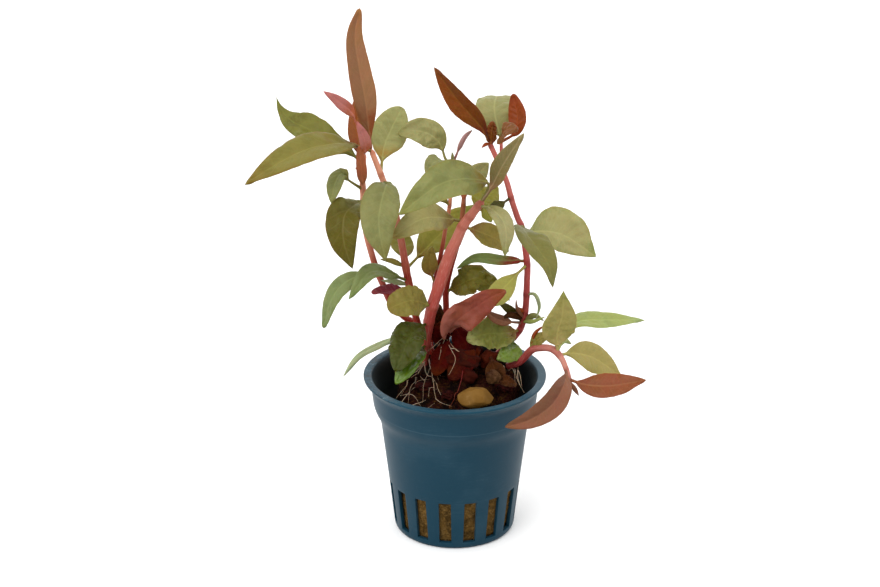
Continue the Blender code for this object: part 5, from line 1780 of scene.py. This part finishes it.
LEAVES = (
    Leaf("leaf_left_tall", "stem_left_back", 109,
         ((-23.5, 0, 123), (-25, -1, 132.5), (-26, -1.5, 141.5), (-24.6, -1, 148.6)),
         6.6, (0.35, -0.9, 0.1), 12, RUST_TALL, 1.5, point=0.5, belly=0.4, ruffle=0.3),
    Leaf("leaf_left_tall_back", "stem_left", 105, ((-25.9, 10.5, 112.8), (-25.2, 16.5, 122.1)),
         5.8, (-0.2, -1, 0.1), 14, RUST_DEEP, 1.5, point=0.75),
    Leaf("leaf_left_pink", "stem_left", 109, ((-26.5, -3, 120), (-30, -6, 125), (-34, -8, 128.6)),
         3.4, (0.3, -0.9, 0.3), 16, PINK_TIP, 10),
    Leaf("leaf_left_long", "stem_left_back", 108.4,
         ((-25, 1.8, 110), (-28.8, -4, 113), (-33, -8, 114), (-38.5, -12, 114), (-45.5, -17, 112),
          (-53.7, -22, 108.1)),
         10.4, (-0.1, -0.55, 0.8), 16, OLIVE_LONG, 2.4, belly=0.45, base=1.5, start=2.2, ruffle=0.3),
    Leaf("leaf_left_hooked", "stem_left", 106,
         ((-28.5, 4.6, 108), (-34, 7, 109.5), (-39.5, 11, 112), (-44, 15, 113), (-47, 19, 115),
          (-48.3, 21, 118.1)),
         9.6, (-0.1, -0.7, 0.7), 26, OLIVE_HOOK, 1.5, belly=0.42, point=1.35, base=1.5, crumple=0.1),
    Leaf("leaf_left_hanging_small", "stem_left", 98.2,
         ((-28, -1.2, 101.8), (-30, -3, 104.2), (-31.6, -5, 101.8), (-32.5, -7, 97.5)),
         5.4, (-0.5, -0.5, 0.7), 12, SAGE, 3, tip_face=(-0.5, -0.8, 0.3), base=1.4, belly=0.5, start=3.2),
    Leaf("leaf_left_hanging_dark", "stem_left", 95,
         ((-26.8, -5, 96), (-29, -9, 94.6), (-29.2, -12, 89), (-27, -12, 81)),
         10.0, (-0.2, -0.9, 0.45), 20, BRONZE, belly=0.42, point=0.95, base=1.0, crumple=0.08),
    Leaf("leaf_left_drooping", "stem_left_back", 99,
         ((-18.3, -2, 100.6), (-19.6, -8, 97.5), (-20, -12, 92.5), (-18.3, -12, 83.3)),
         10.6, (0.05, -1, 0.35), 14, SAGE_SOFT, belly=0.42, point=0.9, base=1.0, crumple=0.08),
    Leaf("leaf_left_yellow", "stem_left_back", 102,
         ((-19, 8.5, 107.8), (-17, 12.5, 111.8), (-14.2, 17, 116.2)),
         10.0, (0.3, -0.85, 0.4), 10, LIME_OCHRE, 2, belly=0.5, point=0.55, base=1.2),
    Leaf("leaf_thin_top", "stem_thin", 101.5,
         ((-2.7, 8.4, 104.8), (-4, 8.6, 108.6), (-7, 9, 111.3), (-11, 9.6, 112), (-15.4, 10, 110.9)),
         8.0, (-0.3, -0.8, 0.6), 20, STRAW_GREEN, 4, start=2.2, point=0.7, base=1.3, crumple=0.16),
    Leaf("leaf_thin_curled", "stem_thin", 101.5, ((-3.4, 3.6, 105.6), (-5.8, 0.6, 106), (-7.6, -1, 103.4)),
         6.2, (-0.2, -0.1, 1), 8, SAGE_DEEP, tip_face=(-0.3, -0.9, 0.3), point=0.6, base=1.0, crumple=0.12),
    Leaf("leaf_middle_big", "stem_middle", 97.5,
         ((8.2, -7, 103.4), (-2.7, -15.5, 106.4), (-14.7, -20, 99.2)),
         11.6, (-0.1, -0.75, 0.65), 20, SAGE, 5, belly=0.4, base=1.2, ruffle=0.3, crumple=0.12),
    Leaf("leaf_middle_upright", "stem_middle", 98, ((9.4, -8.6, 102.5), (12.4, -13, 110.5), (17.4, -16, 120)),
         6.0, (-0.6, -0.8, 0.3), 24, BRONZE_GREEN, 2.6, base=1.5),
    Leaf("leaf_right_red", "stem_right", 111.5, ((7, 0, 116), (1, -4, 124.5), (-5.6, -9, 135.3)),
         7.0, (-0.4, -0.9, 0.1), 18, RUST_DEEP, 0.6, base=1.4),
    Leaf("leaf_right_arched", "stem_right", 0, ((10.4, 9.4, 117.6), (11.2, 16, 119.4), (12.4, 24, 115)),
         10.4, (-0.15, -0.9, 0.6), 1, STRAW_GREEN, 0.3, tip_face=(0, 0.5, 1), foot=(12.2, 4, 110.8),
         start=1.6, base=0.75, crumple=0.1),
    Leaf("leaf_right_red_small", "stem_right", 0, ((15.8, 3.6, 113.6), (16.4, 5, 118), (15.2, 7, 123.2)),
         5.4, (-0.5, -0.9, 0.1), 14, RUST_BRIGHT, 1.8, foot=(12.2, 4, 110.8), start=1.6, point=0.6, belly=0.48,
         base=0.9),
    Leaf("leaf_right_young", "stem_right", 0, ((12.2, -0.8, 114.2), (13.6, -3.4, 116.6), (16.2, -5.2, 117.4)),
         6.0, (-0.3, -0.8, 0.6), 10, SALMON, 1.5, tip_face=(0.1, -0.6, 0.8), foot=(12.2, 4, 110.8),
         start=1.6, point=0.6, base=1.1, crumple=0.14),
    Leaf("leaf_thin_edge_on", "stem_thin", 102.7, ((1.2, 9.6, 107.4), (2.7, 10.6, 110), (4.6, 12, 111.4)),
         1.5, (-0.8, -0.3, 0.8), 12, GREY_PINK, 2, start=2.2, point=0.6),
    Leaf("leaf_middle_grey", "stem_middle_back", 88.5, ((-8, -3, 91.8), (-17, -5.5, 87.1)),
         8.8, (0, -0.7, 0.7), 16, GREY_OLIVE, 1.2, base=1.1, point=0.75, crumple=0.1),
    Leaf("leaf_back_yellow", "stem_left_back", 74,
         ((-7.8, 13.5, 76.8), (-1.3, 19, 81.4), (6.4, 23, 86.1)),
         10.0, (-0.3, -0.8, 0.5), 12, YELLOW_OLIVE, 4, base=1.5, crumple=0.1),
    Leaf("leaf_back_dark", "stem_thin", 67.5, ((-6.9, 8, 74), (-6.2, 6.5, 80.3)),
         4.7, (0.1, -0.9, 0.2), 14, BROWN_GREEN, start=2.4, base=1.4),
    Leaf("leaf_back_olive", "stem_left_back", 75.5, ((-14.4, 13, 78), (-15.6, 19, 82.4)),
         6.5, (0.2, -0.9, 0.4), 12, BACK_OLIVE, base=1.2),
    Leaf("leaf_left_arching", "stem_left_back", 70.5, ((-22.2, -2.5, 76.4), (-28.3, -10, 71.5)),
         5.8, (-0.1, -0.6, 0.8), 14, SAGE_LIGHT, start=2.6, crumple=0.1),
    Leaf("leaf_left_low", "stem_left", 73.5, ((-28.8, 5, 70.8), (-33.4, 5.5, 65.3), (-36.1, 8, 55.4)),
         6.2, (-0.6, -0.7, 0.5), 12, SAGE_LIGHT, point=0.6),
    Leaf("leaf_left_folded", "stem_left_back", 67.5, ((-17.5, 0, 69.8), (-22.3, -5, 71.5)),
         4.4, (0, -0.6, 0.8), 30, CRIMSON, point=0.55, crumple=0.1, ragged=0.1),
    Leaf("leaf_middle_ochre", "stem_middle", 64.5, ((-10.2, -3, 68), (-13.5, -6, 69), (-18, -8, 67.8)),
         8.6, (0, -0.85, 0.55), 12, OCHRE, 0.2, point=0.42, belly=0.52, base=0.7, ragged=0.2, crumple=0.14),
    Leaf("leaf_pot_crumpled", "stem_middle", 59.5, ((-11.6, -3, 58.5), (-13.6, -7, 55.5), (-16, -10, 50.5)),
         10.0, (-0.3, -0.85, 0.5), 16, MOSS, 0.2, point=0.6, base=0.9, ragged=0.15, crumple=0.2),
    Leaf("leaf_pot_wet", "stem_middle", 52, ((-11.5, -4, 52), (-13.5, -8, 50), (-16, -10, 46.6)),
         7.4, (-0.3, -0.8, 0.6), 16, WET_GREEN, 0.4, point=0.7, base=1.1, ragged=0.15, crumple=0.14),
    Leaf("leaf_pale_thin", "stem_left_back", 54.5,
         ((-16.5, 11, 50.8), (-20.7, 11, 49), (-26.5, 8.5, 46.6), (-31, 7, 41)),
         2.7, (-0.3, -0.5, 0.9), 6, PALE_GREEN, 5),
    Leaf("leaf_front_pink", "stem_middle_back", 51,
         ((-0.6, 0, 60), (4.4, -5, 66.4), (9, -9, 71.4), (13.4, -12, 74.8)),
         9.2, (0.4, -0.8, 0.5), 20, ROSE, 0.6, start=2.4, point=0.6, base=1.0, ruffle=0.35, crumple=0.1),
    Leaf("leaf_back_top", "stem_middle_back", 97, ((5.3, 6.4, 100.2), (9, 8, 103.6)),
         5.6, (0.3, -0.8, 0.3), 12, STRAW_GREEN, 2.5, start=1.0),
    Leaf("leaf_back_ochre", "stem_middle", 93, ((8, 3.4, 94.8), (11.5, 8.5, 96.6)),
         8.0, (0.2, -0.7, 0.7), 12, YELLOW_OLIVE, 2, base=1.1, crumple=0.1),
    Leaf("leaf_right_small_dark", "stem_right", 95.5, ((11.6, 0, 94.4), (9, -1, 94.2)),
         3.4, (0, -0.7, 0.7), 20, BRONZE_DARK, 0.2, belly=0.6, base=1.4),
    Leaf("leaf_middle_hanging", "stem_middle", 96.5,
         ((10, -9.6, 96.4), (12.8, -14, 93.6), (12.9, -16, 86.1)),
         5.6, (0.4, -0.8, 0.5), 20, SAGE_PALE, base=1.1, crumple=0.1),
    Leaf("leaf_right_drooping", "stem_right", 87,
         ((18.6, -4.6, 88.4), (21.3, -10, 86.2), (24.3, -13, 82.5), (25.6, -15, 76.8)),
         9.0, (0.4, -0.3, 0.9), 16, SAGE_OLIVE, 0.2, tip_face=(0.35, -0.85, 0.4), belly=0.4, point=1.0,
         base=1.0, lean=0.12),
    Leaf("leaf_right_broad", "stem_right", 85.5, ((28.7, 11.5, 81.8), (38.9, 16, 73.3)),
         12.4, (0.1, -0.85, 0.5), 10, BROAD, point=0.9, base=1.2, crumple=0.1, lean=0.2),
    Leaf("leaf_right_twisted", "stem_right", 76.5, ((13.5, 5, 76.6), (5.5, 5, 77), (0.3, 5, 74.2)),
         3.8, (0, -0.6, 0.8), 20, TWO_TONE, 0.1, base=0.6, ruffle=0.4),
    Leaf("leaf_right_yellow", "stem_right", 75.5, ((16, 1.4, 73.4), (12.2, -1.6, 70.2), (8.8, -3.8, 67.4)),
         6.4, (0.2, -0.8, 0.5), 14, YELLOW, 0.3, belly=0.66, base=1.3, point=0.6),
    Leaf("leaf_middle_crumpled", "stem_middle_back", 67, ((3.5, 2, 71.8), (6.5, 1.6, 72.6), (12, 1.5, 68.8)),
         8.6, (0, -0.7, 0.7), 18, MOSS_LIGHT, 0.3, point=0.6, base=0.9, ragged=0.2, crumple=0.3),
    Leaf("leaf_middle_brown", "stem_middle", 90, ((7.5, -0.6, 86.6), (11.4, 1, 84), (14.4, 2, 80.2)),
         7.0, (0.2, -0.8, 0.5), 22, BROWN_GREEN, 0.4, base=1.1, crumple=0.1),
    Leaf("leaf_low_upright", "stem_low", 54.2, ((27.4, -6, 60), (28.6, -6, 65), (29, -5, 72)),
         9.6, (0.2, -0.95, 0.1), 12, SAND_GREEN, 0.6, point=1.1, belly=0.36, base=1.2, crumple=0.08),
    Leaf("leaf_low_pale", "stem_low", 54.4, ((32.7, 5.5, 57.8), (42.9, 13.5, 55.4), (53.4, 19, 53)),
         6.6, (0, -0.5, 0.85), 12, PALE_LIME, 6, belly=0.45, point=1.0),
    Leaf("leaf_pot_green", "stem_right", 54.5, ((13.6, 4.4, 55.4), (8.5, 2.4, 56), (3.2, 0.4, 55.1)),
         9.4, (0, -0.7, 0.7), 16, FERN, 0.2, point=0.6, belly=0.5, base=0.8, ragged=0.25, crumple=0.3),
    Leaf("leaf_pot_bright", "stem_right", 52.2, ((15.2, 2, 51), (11.4, -1.6, 50.2)),
         6.4, (0, -0.8, 0.6), 14, LIVE_GREEN, 1.5, base=0.9, ragged=0.2, crumple=0.2),
    Leaf("leaf_low_ochre", "stem_low", 53.8,
         ((32.2, -4, 53.2), (37, -1, 50.8), (41.4, 1, 47.2), (45.9, 3, 42.7)),
         8.4, (0.2, -0.8, 0.6), 10, SAND, 0.4, base=1.3),
    Leaf("leaf_low_red", "stem_low", 48.2, ((35.4, -12.4, 47.6), (42, -15, 48.6), (50.7, -18, 51.7)),
         7.3, (0, -0.75, 0.65), 16, TERRACOTTA, 0.6, belly=0.42, base=1.1, ruffle=0.3),
    Leaf("leaf_low_over_rim", "stem_low", 50.6,
         ((29, -15, 49), (25.6, -20.5, 45.6), (19.8, -24.5, 43.2), (13, -27, 42.2)),
         6.9, (0.3, -0.8, 0.5), 18, CLAY, 0.6, point=0.7, base=1.0, ruffle=0.3),
)

YOUNG_LEAVES = (
    Leaf("young_left_top", "stem_left", 109, ((-23.6, -3, 113), (-25.5, -5, 119.5)),
         3.4, (0.3, -0.9, 0.3), 20, PINK_TIP, 0.3, base=1.0),
    Leaf("spike_left", "stem_left", 102.9, ((-25.4, 0.4, 104.2), (-26.4, -0.6, 105.2)),
         0.9, (0, -0.9, 0.3), 0, CRIMSON),
    Leaf("young_left_middle", "stem_left_back", 69, ((-16.3, 4.6, 70.6), (-20, 4, 71.2)),
         1.6, (0, -0.8, 0.6), 5, PALE_GREEN),
    Leaf("young_left_bud", "stem_left_back", 74.5, ((-17, 5.5, 76.3), (-20.3, 5, 77)),
         1.6, (0, -0.8, 0.6), 5, OCHRE),
    Leaf("young_middle", "stem_middle", 96.5, ((8, -3.8, 94.2), (9.6, -3.4, 90.8)),
         4.0, (0.3, -0.8, 0.5), 10, YELLOW_OLIVE, base=1.0),
    Leaf("bud_thin", "stem_thin", 102.5, ((-0.7, 7.5, 105.5), (-0.9, 7.2, 107)),
         0.9, (0, -0.9, 0.3), 0, SAGE_DEEP),
    Leaf("young_thin_left", "stem_thin", 91.5, ((-5, 7, 95), (-9, 6, 92.5)),
         3.0, (0, -0.8, 0.6), 5, OCHRE),
    Leaf("young_thin_right", "stem_thin", 70, ((-2.8, 9, 75), (-1.8, 8.5, 78.8)),
         1.8, (0, -0.9, 0.4), 5, PALE_GREEN),
    Leaf("spike_right", "stem_right", 110.8, ((8, 0.5, 111.3), (6.8, -0.3, 110.5)),
         0.9, (0, -0.9, 0.3), 0, RUST_BRIGHT),
    Leaf("young_right_dark", "stem_right", 57.5, ((14.5, 5, 62.5), (11.2, 4, 65.4)),
         2.6, (0, -0.8, 0.5), 15, BRONZE_DARK, crumple=0.2),
    Leaf("young_right_brown", "stem_right", 58.5, ((15, 4, 61), (12.4, 3, 60)),
         2.0, (0, -0.8, 0.5), 15, UMBER, crumple=0.2),
    Leaf("young_right_red", "stem_right", 110.4, ((9.6, 3, 114.4), (9.8, 4, 116.6)),
         3.2, (0, -0.9, 0.3), 20, RUST_DEEP, 0.2, point=0.5, ragged=0.4, crumple=0.3),
    Leaf("young_right_crescent", "stem_right", 66.2, ((21.8, 5, 66.6), (23, 4.6, 63.4), (22.2, 4, 59.8)),
         1.0, (0.8, -0.5, 0.3), 5, PALE_GREEN),
    Leaf("young_right_low", "stem_right", 56.5, ((21.5, 6, 60), (24.5, 5, 58.8)),
         1.8, (0, -0.8, 0.6), 5, SAGE),
    Leaf("bud_right", "stem_right", 60.5, ((17.8, 5.5, 62), (17.4, 5, 63)),
         1.3, (0, -0.9, 0.3), 0, RUST_BRIGHT),
    Leaf("young_low_left", "stem_low", 52.5, ((22.6, -2, 56.4), (26.8, -2, 58.6)),
         3.6, (0, -0.7, 0.7), 10, OCHRE, 0.4, rising=True, crumple=0.2),
    Leaf("young_low_narrow", "stem_low", 52.8, ((21.6, -1, 57.6), (24.6, -1, 60.4)),
         1.0, (0, -0.7, 0.7), 5, RUST_BRIGHT, rising=True),
    Leaf("young_low_right", "stem_low", 54.8, ((29.4, 0, 55.2), (32, 3, 52.8)),
         2.0, (0, -0.7, 0.7), 5, PALE_LIME),
)

ROOTS = (
    Roots("roots_middle", "root_pale", 0.14, ROOT_WHITE, (
        ((-8.2, 3.4, 2.4), (-11.4, -1.5, 1.3), (-14.4, -7.2, 0.5)),
        ((-7.1, 3.4, 2.4), (-6.2, -4.5, 1.4), (-5.1, -13.2, 0.5)),
        ((-8.2, 2.8, 2), (-10.4, -2, 1.1), (-11.9, -4.6, 0.5)),
        ((-8.3, 2.4, 1.6), (-7.6, -2.4, 0.9), (-5.8, -6, 0.6), (-3.8, -11, 0.5)),
        ((-8.3, 3.2, 2.2), (-12.2, -3.4, 1.2), (-16, -7.6, 0.5)),
        ((-15.4, -10, 0.4), (-12.4, -13.4, 0.4), (-8, -15.8, 0.4)),
    )),
    Roots("roots_fine", "root_pale", 0.08, ROOT_WHITE, (
        ((-14.4, -9.4, 0.5), (-10.4, -6.4, 0.7), (-6.8, -4.6, 0.6)),
        ((-13, -13, 0.4), (-9, -14.4, 0.5), (-5.4, -14.6, 0.5)),
        ((-8.2, -3.6, 0.8), (-6.2, -1.2, 1.2), (-3.8, -4.6, 0.8)),
        ((-7.2, 3.2, 2), (-5.4, -2.4, 1), (-4.4, -7, 0.6)),
        ((-10.4, -3.4, 1), (-12, -7, 0.7), (-12.6, -11.2, 0.5)),
        ((-14.8, -7.4, 0.5), (-11.4, -9.4, 0.5), (-9.2, -13, 0.4)),
        ((-9.4, -2, 1.1), (-8.4, -6.4, 0.7), (-8.8, -11.6, 0.5)),
        ((-11.6, -12.4, 0.4), (-8, -10.6, 0.5), (-5, -9.4, 0.5)),
        ((-5.2, -12.6, 0.5), (-3.4, -14.4, 0.4), (-0.8, -15.4, 0.4)),
    )),
    Roots("roots_back", "root_pale", 0.12, ROOT_WHITE, (
        ((-2.7, 6.9, 7), (-5.4, 5.4, 5.7), (-7.9, 4.6, 8)),
        ((-3.1, 6.8, 6.3), (-4.3, 5, 4.7), (-4.7, 3, 2.6)),
        ((-2.4, 6.9, 6.7), (-1.1, -1, 6.7), (0.3, -5.6, 6), (-0.6, -7.4, 4.6), (-1.7, -8, 3.4)),
        ((-2.6, 6.9, 6.9), (-5.2, -1.4, 8), (-7.6, -3, 8.6)),
        ((-2.6, 6.9, 6.6), (-3.8, -1.6, 5.4), (-4.9, -3.4, 2.6)),
        ((-2, 6.9, 7.3), (-0.4, 6, 6.9), (1.5, 5, 6)),
        ((-1.7, 6.9, 6.7), (-0.8, 0, 6.6), (1, -2.6, 6)),
        ((-3.4, 6.8, 5.7), (-4.6, 3, 4.8), (-6.1, 1.4, 2.6)),
        ((-1.1, -1, 6.7), (0.3, -1.8, 6.4), (1.2, -3, 6)),
    )),
    Roots("roots_low", "root_pale", 0.12, ROOT_WHITE, (
        ((17.2, 1.2, 1.5), (17.3, -2, 1.1), (18.8, -7, 1.2)),
        ((16.4, 1.6, 1), (16.9, -1.6, 0.8), (18.4, -6, 1.2)),
        ((15.8, 1.6, 0.8), (16.3, -1, 0.6), (16.4, -2.8, 0.6)),
        ((17.4, 1.2, 1.5), (18, -2, 2), (18.2, -5, 1.8)),
        ((15, 3, 1), (15.7, 4.4, 3.9), (17, 3, 3), (17.4, 1.4, 1.5)),
        ((14.7, 3.2, 1.9), (16.5, 2.4, 1.7), (17.4, 1.4, 1.9)),
        ((13.4, 2.2, 1.4), (13.2, -0.6, 0.9), (12.4, -2.8, 0.8)),
        ((15, 3.4, 2.7), (15.6, 2.2, 1.1), (14.8, 0, 0.7)),
    )),
    Roots("roots_red", "root_pale", 0.13, ROOT_RED, (
        ((2.1, -8, 3.4), (1.6, -10, 2.6), (0.6, -12.5, 1.1), (-1.6, -16, 1)),
        ((2.4, 5.8, 6.4), (3.8, 5, 8.6), (5.4, 4.6, 9.2), (5.8, 4.4, 8.4)),
    )),
)

LITTER = (
    Leaf("litter_folded", "", 0, ((10.8, -4.5, 48.4), (12.2, -7.5, 45.4)),
         6.2, (-0.1, -0.8, 0.6), 28, UMBER, 0, point=0.6, belly=0.6, crumple=0.1, foot=(9.7, -1.5, 51)),
    Leaf("litter_brown_back", "", 0, ((-4.2, 6, 58.6), (-4.4, 4.6, 64)),
         4.4, (0, -0.95, 0.2), 24, UMBER, 0, point=0.6, belly=0.5, crumple=0.2, ragged=0.2, foot=(-1.2, 7.6, 53)),
    Leaf("litter_brown_low", "", 0, ((-3.9, 4.6, 55), (-3.3, 3.4, 59.4)),
         5.4, (0, -0.95, 0.2), 14, RED_BROWN, 0, point=0.5, belly=0.5, crumple=0.2, ragged=0.2, foot=(-1.8, 6.6, 51)),
    Leaf("litter_red_upper", "", 0, ((2.4, 3.6, 53.4), (5.6, -2, 50.6)),
         7.0, (0.1, -0.7, 0.7), 8, RED_BROWN, 0, point=0.5, belly=0.6, crumple=0.2, ragged=0.2, foot=(-1, 8, 57.6)),
    Leaf("litter_red_low", "", 0, ((1.8, -5.4, 50.4), (-1.4, -9, 47.4)),
         6.4, (-0.1, -0.7, 0.6), 8, DEAD_RED, 0, point=0.5, crumple=0.2, ragged=0.2, foot=(5.4, -1.6, 53)),
    Leaf("litter_red_left", "", 0, ((-3.4, -2, 51), (-5.4, -6.4, 47.6)),
         6.4, (-0.3, -0.7, 0.6), 8, RED_BROWN, 0, point=0.5, crumple=0.2, ragged=0.2, foot=(-1.6, 2.4, 54)),
    Leaf("litter_low_right", "", 0, ((14.2, -8.4, 46.8), (16.6, -7.8, 45.2)),
         4.2, (0, -0.4, 0.9), 15, UMBER, 0, point=0.6, crumple=0.2, foot=(11.8, -8.4, 46.6)),
    Leaf("young_left_sheath", "stem_left", 99, ((-24.6, -1.3, 104), (-25.2, -1.6, 111.6)),
         3.0, (0.1, -0.95, 0.2), 20, SHEATH, 1.5, point=0.5, base=0.8, belly=0.45),
    Leaf("young_middle_sheath", "stem_middle_back", 93, ((2.3, 2.6, 96.6), (1.8, 1.4, 101.6)),
         2.8, (0, -0.95, 0.2), 14, SHEATH, 0.6, point=0.5, base=0.7, belly=0.7),
    Leaf("young_right_triangle", "stem_right", 57, ((14, 3.4, 59.4), (10.6, 2, 61.2), (7.4, 1.2, 64.4)),
         3.0, (0.2, -0.9, 0.4), 14, CLAY, 4.6, point=0.9, belly=0.4),
    Leaf("young_right_red_left", "stem_right", 58.6, ((17, 4.4, 62.8), (16.6, 3.8, 66)),
         1.0, (0, -0.9, 0.3), 5, CLAY, 0.6),
    Leaf("young_right_pale", "stem_right", 57.4, ((21.4, 3, 59.6), (24.8, 2.2, 61.4)),
         1.2, (0, -0.8, 0.5), 6, PALE_LIME, 0.8),
    Leaf("young_right_dark_high", "", 0, ((12.6, 3.4, 67.4), (15, 3.2, 65.6)),
         1.8, (0, -0.8, 0.5), 15, BRONZE_DARK, 0.4, crumple=0.15, foot=(10.8, 3.6, 66.2)),
    Leaf("spike_low", "stem_low", 47.4, ((32.6, -10.6, 45), (33.4, -10.8, 43.6)),
         1.2, (0, -0.9, 0.3), 6, CLAY, 0.3),
)

LUMPS = (
    Lump("tan_pebble", "pebble_tan", "pebble_tan", (5.5, -15, 45.2), (10, 6.8, 6), 8, TAN_STONE, dent=0.03,
         flats=PEBBLE_FLATS),
    Lump("curled_dead_leaf", "dead_leaf_curled", "dead_brown", (10.4, -7.5, 47.7), (4.8, 3.2, 4.8), -20, UMBER_CURL,
         folds=0.2),
    Lump("red_dead_leaves", "dead_leaf_red", "dead_red", (2, -2.2, 50.4), (10.5, 8.6, 5.2), 10, RED_MASH,
         folds=0.05, bumps=0.3),
    Lump("brown_dead_leaves", "dead_leaf_brown", "dead_brown", (2.4, 8.6, 52.2), (7, 4.6, 8), 0, BROWN_MASH,
         folds=0.06, bumps=0.3),
)
LITTER_LUMPS = (
    Lump("red_mash_left", "", "dead_red", (-2.6, 1.4, 49.6), (6, 6, 6.4), 30, RED_MASH, folds=0.05, bumps=0.2),
    Lump("red_mash_front", "", "dead_red", (3.4, -6.6, 47.4), (5.6, 5, 4.6), -20, RED_MASH, folds=0.05, bumps=0.2),
    Lump("red_mash_high", "", "dead_red", (5.2, 2.4, 51), (6.2, 5, 6.6), 50, RED_BROWN_MASH, folds=0.05, bumps=0.3),
    Lump("brown_mash_right", "", "dead_brown", (9.6, 0.6, 49.4), (6.6, 5, 5), 20, BROWN_MASH, folds=0.05, bumps=0.3),
    Lump("brown_mash_left", "", "dead_brown", (-7.6, -7.6, 45.2), (7, 5.4, 2), 15, MAT_BROWN, folds=0.2, bumps=0.4),
    Lump("brown_mash_front", "", "dead_brown", (-1.6, -12.2, 44.6), (4.6, 3.4, 2.6), -15, MAT_BROWN, folds=0.2,
         bumps=0.4),
    Lump("brown_mash_edge", "", "dead_brown", (13.4, -9, 45.4), (5.6, 3.4, 2.4), -10, MAT_BROWN, folds=0.2,
         bumps=0.4),
    Lump("brown_mash_far_left", "", "dead_brown", (-12.6, -2, 45.4), (5, 6, 2), 30, MAT_BROWN, folds=0.2,
         bumps=0.4),
)


def main() -> None:
    """Build every piece in order and set the studio."""
    logging.basicConfig(level=logging.INFO, format="%(name)s %(message)s")
    pot = NetPot()
    plant = Plant(STEMS, LEAVES, YOUNG_LEAVES + LITTER, ROOTS, LUMPS + LITTER_LUMPS)
    parts = [pot, StoneWool(pot), *LUMPS, *LITTER_LUMPS, plant, Studio()]
    for part in parts:
        LOG.info("building %s", type(part).__name__)
        part.build()


if __name__ == "__main__":
    main()
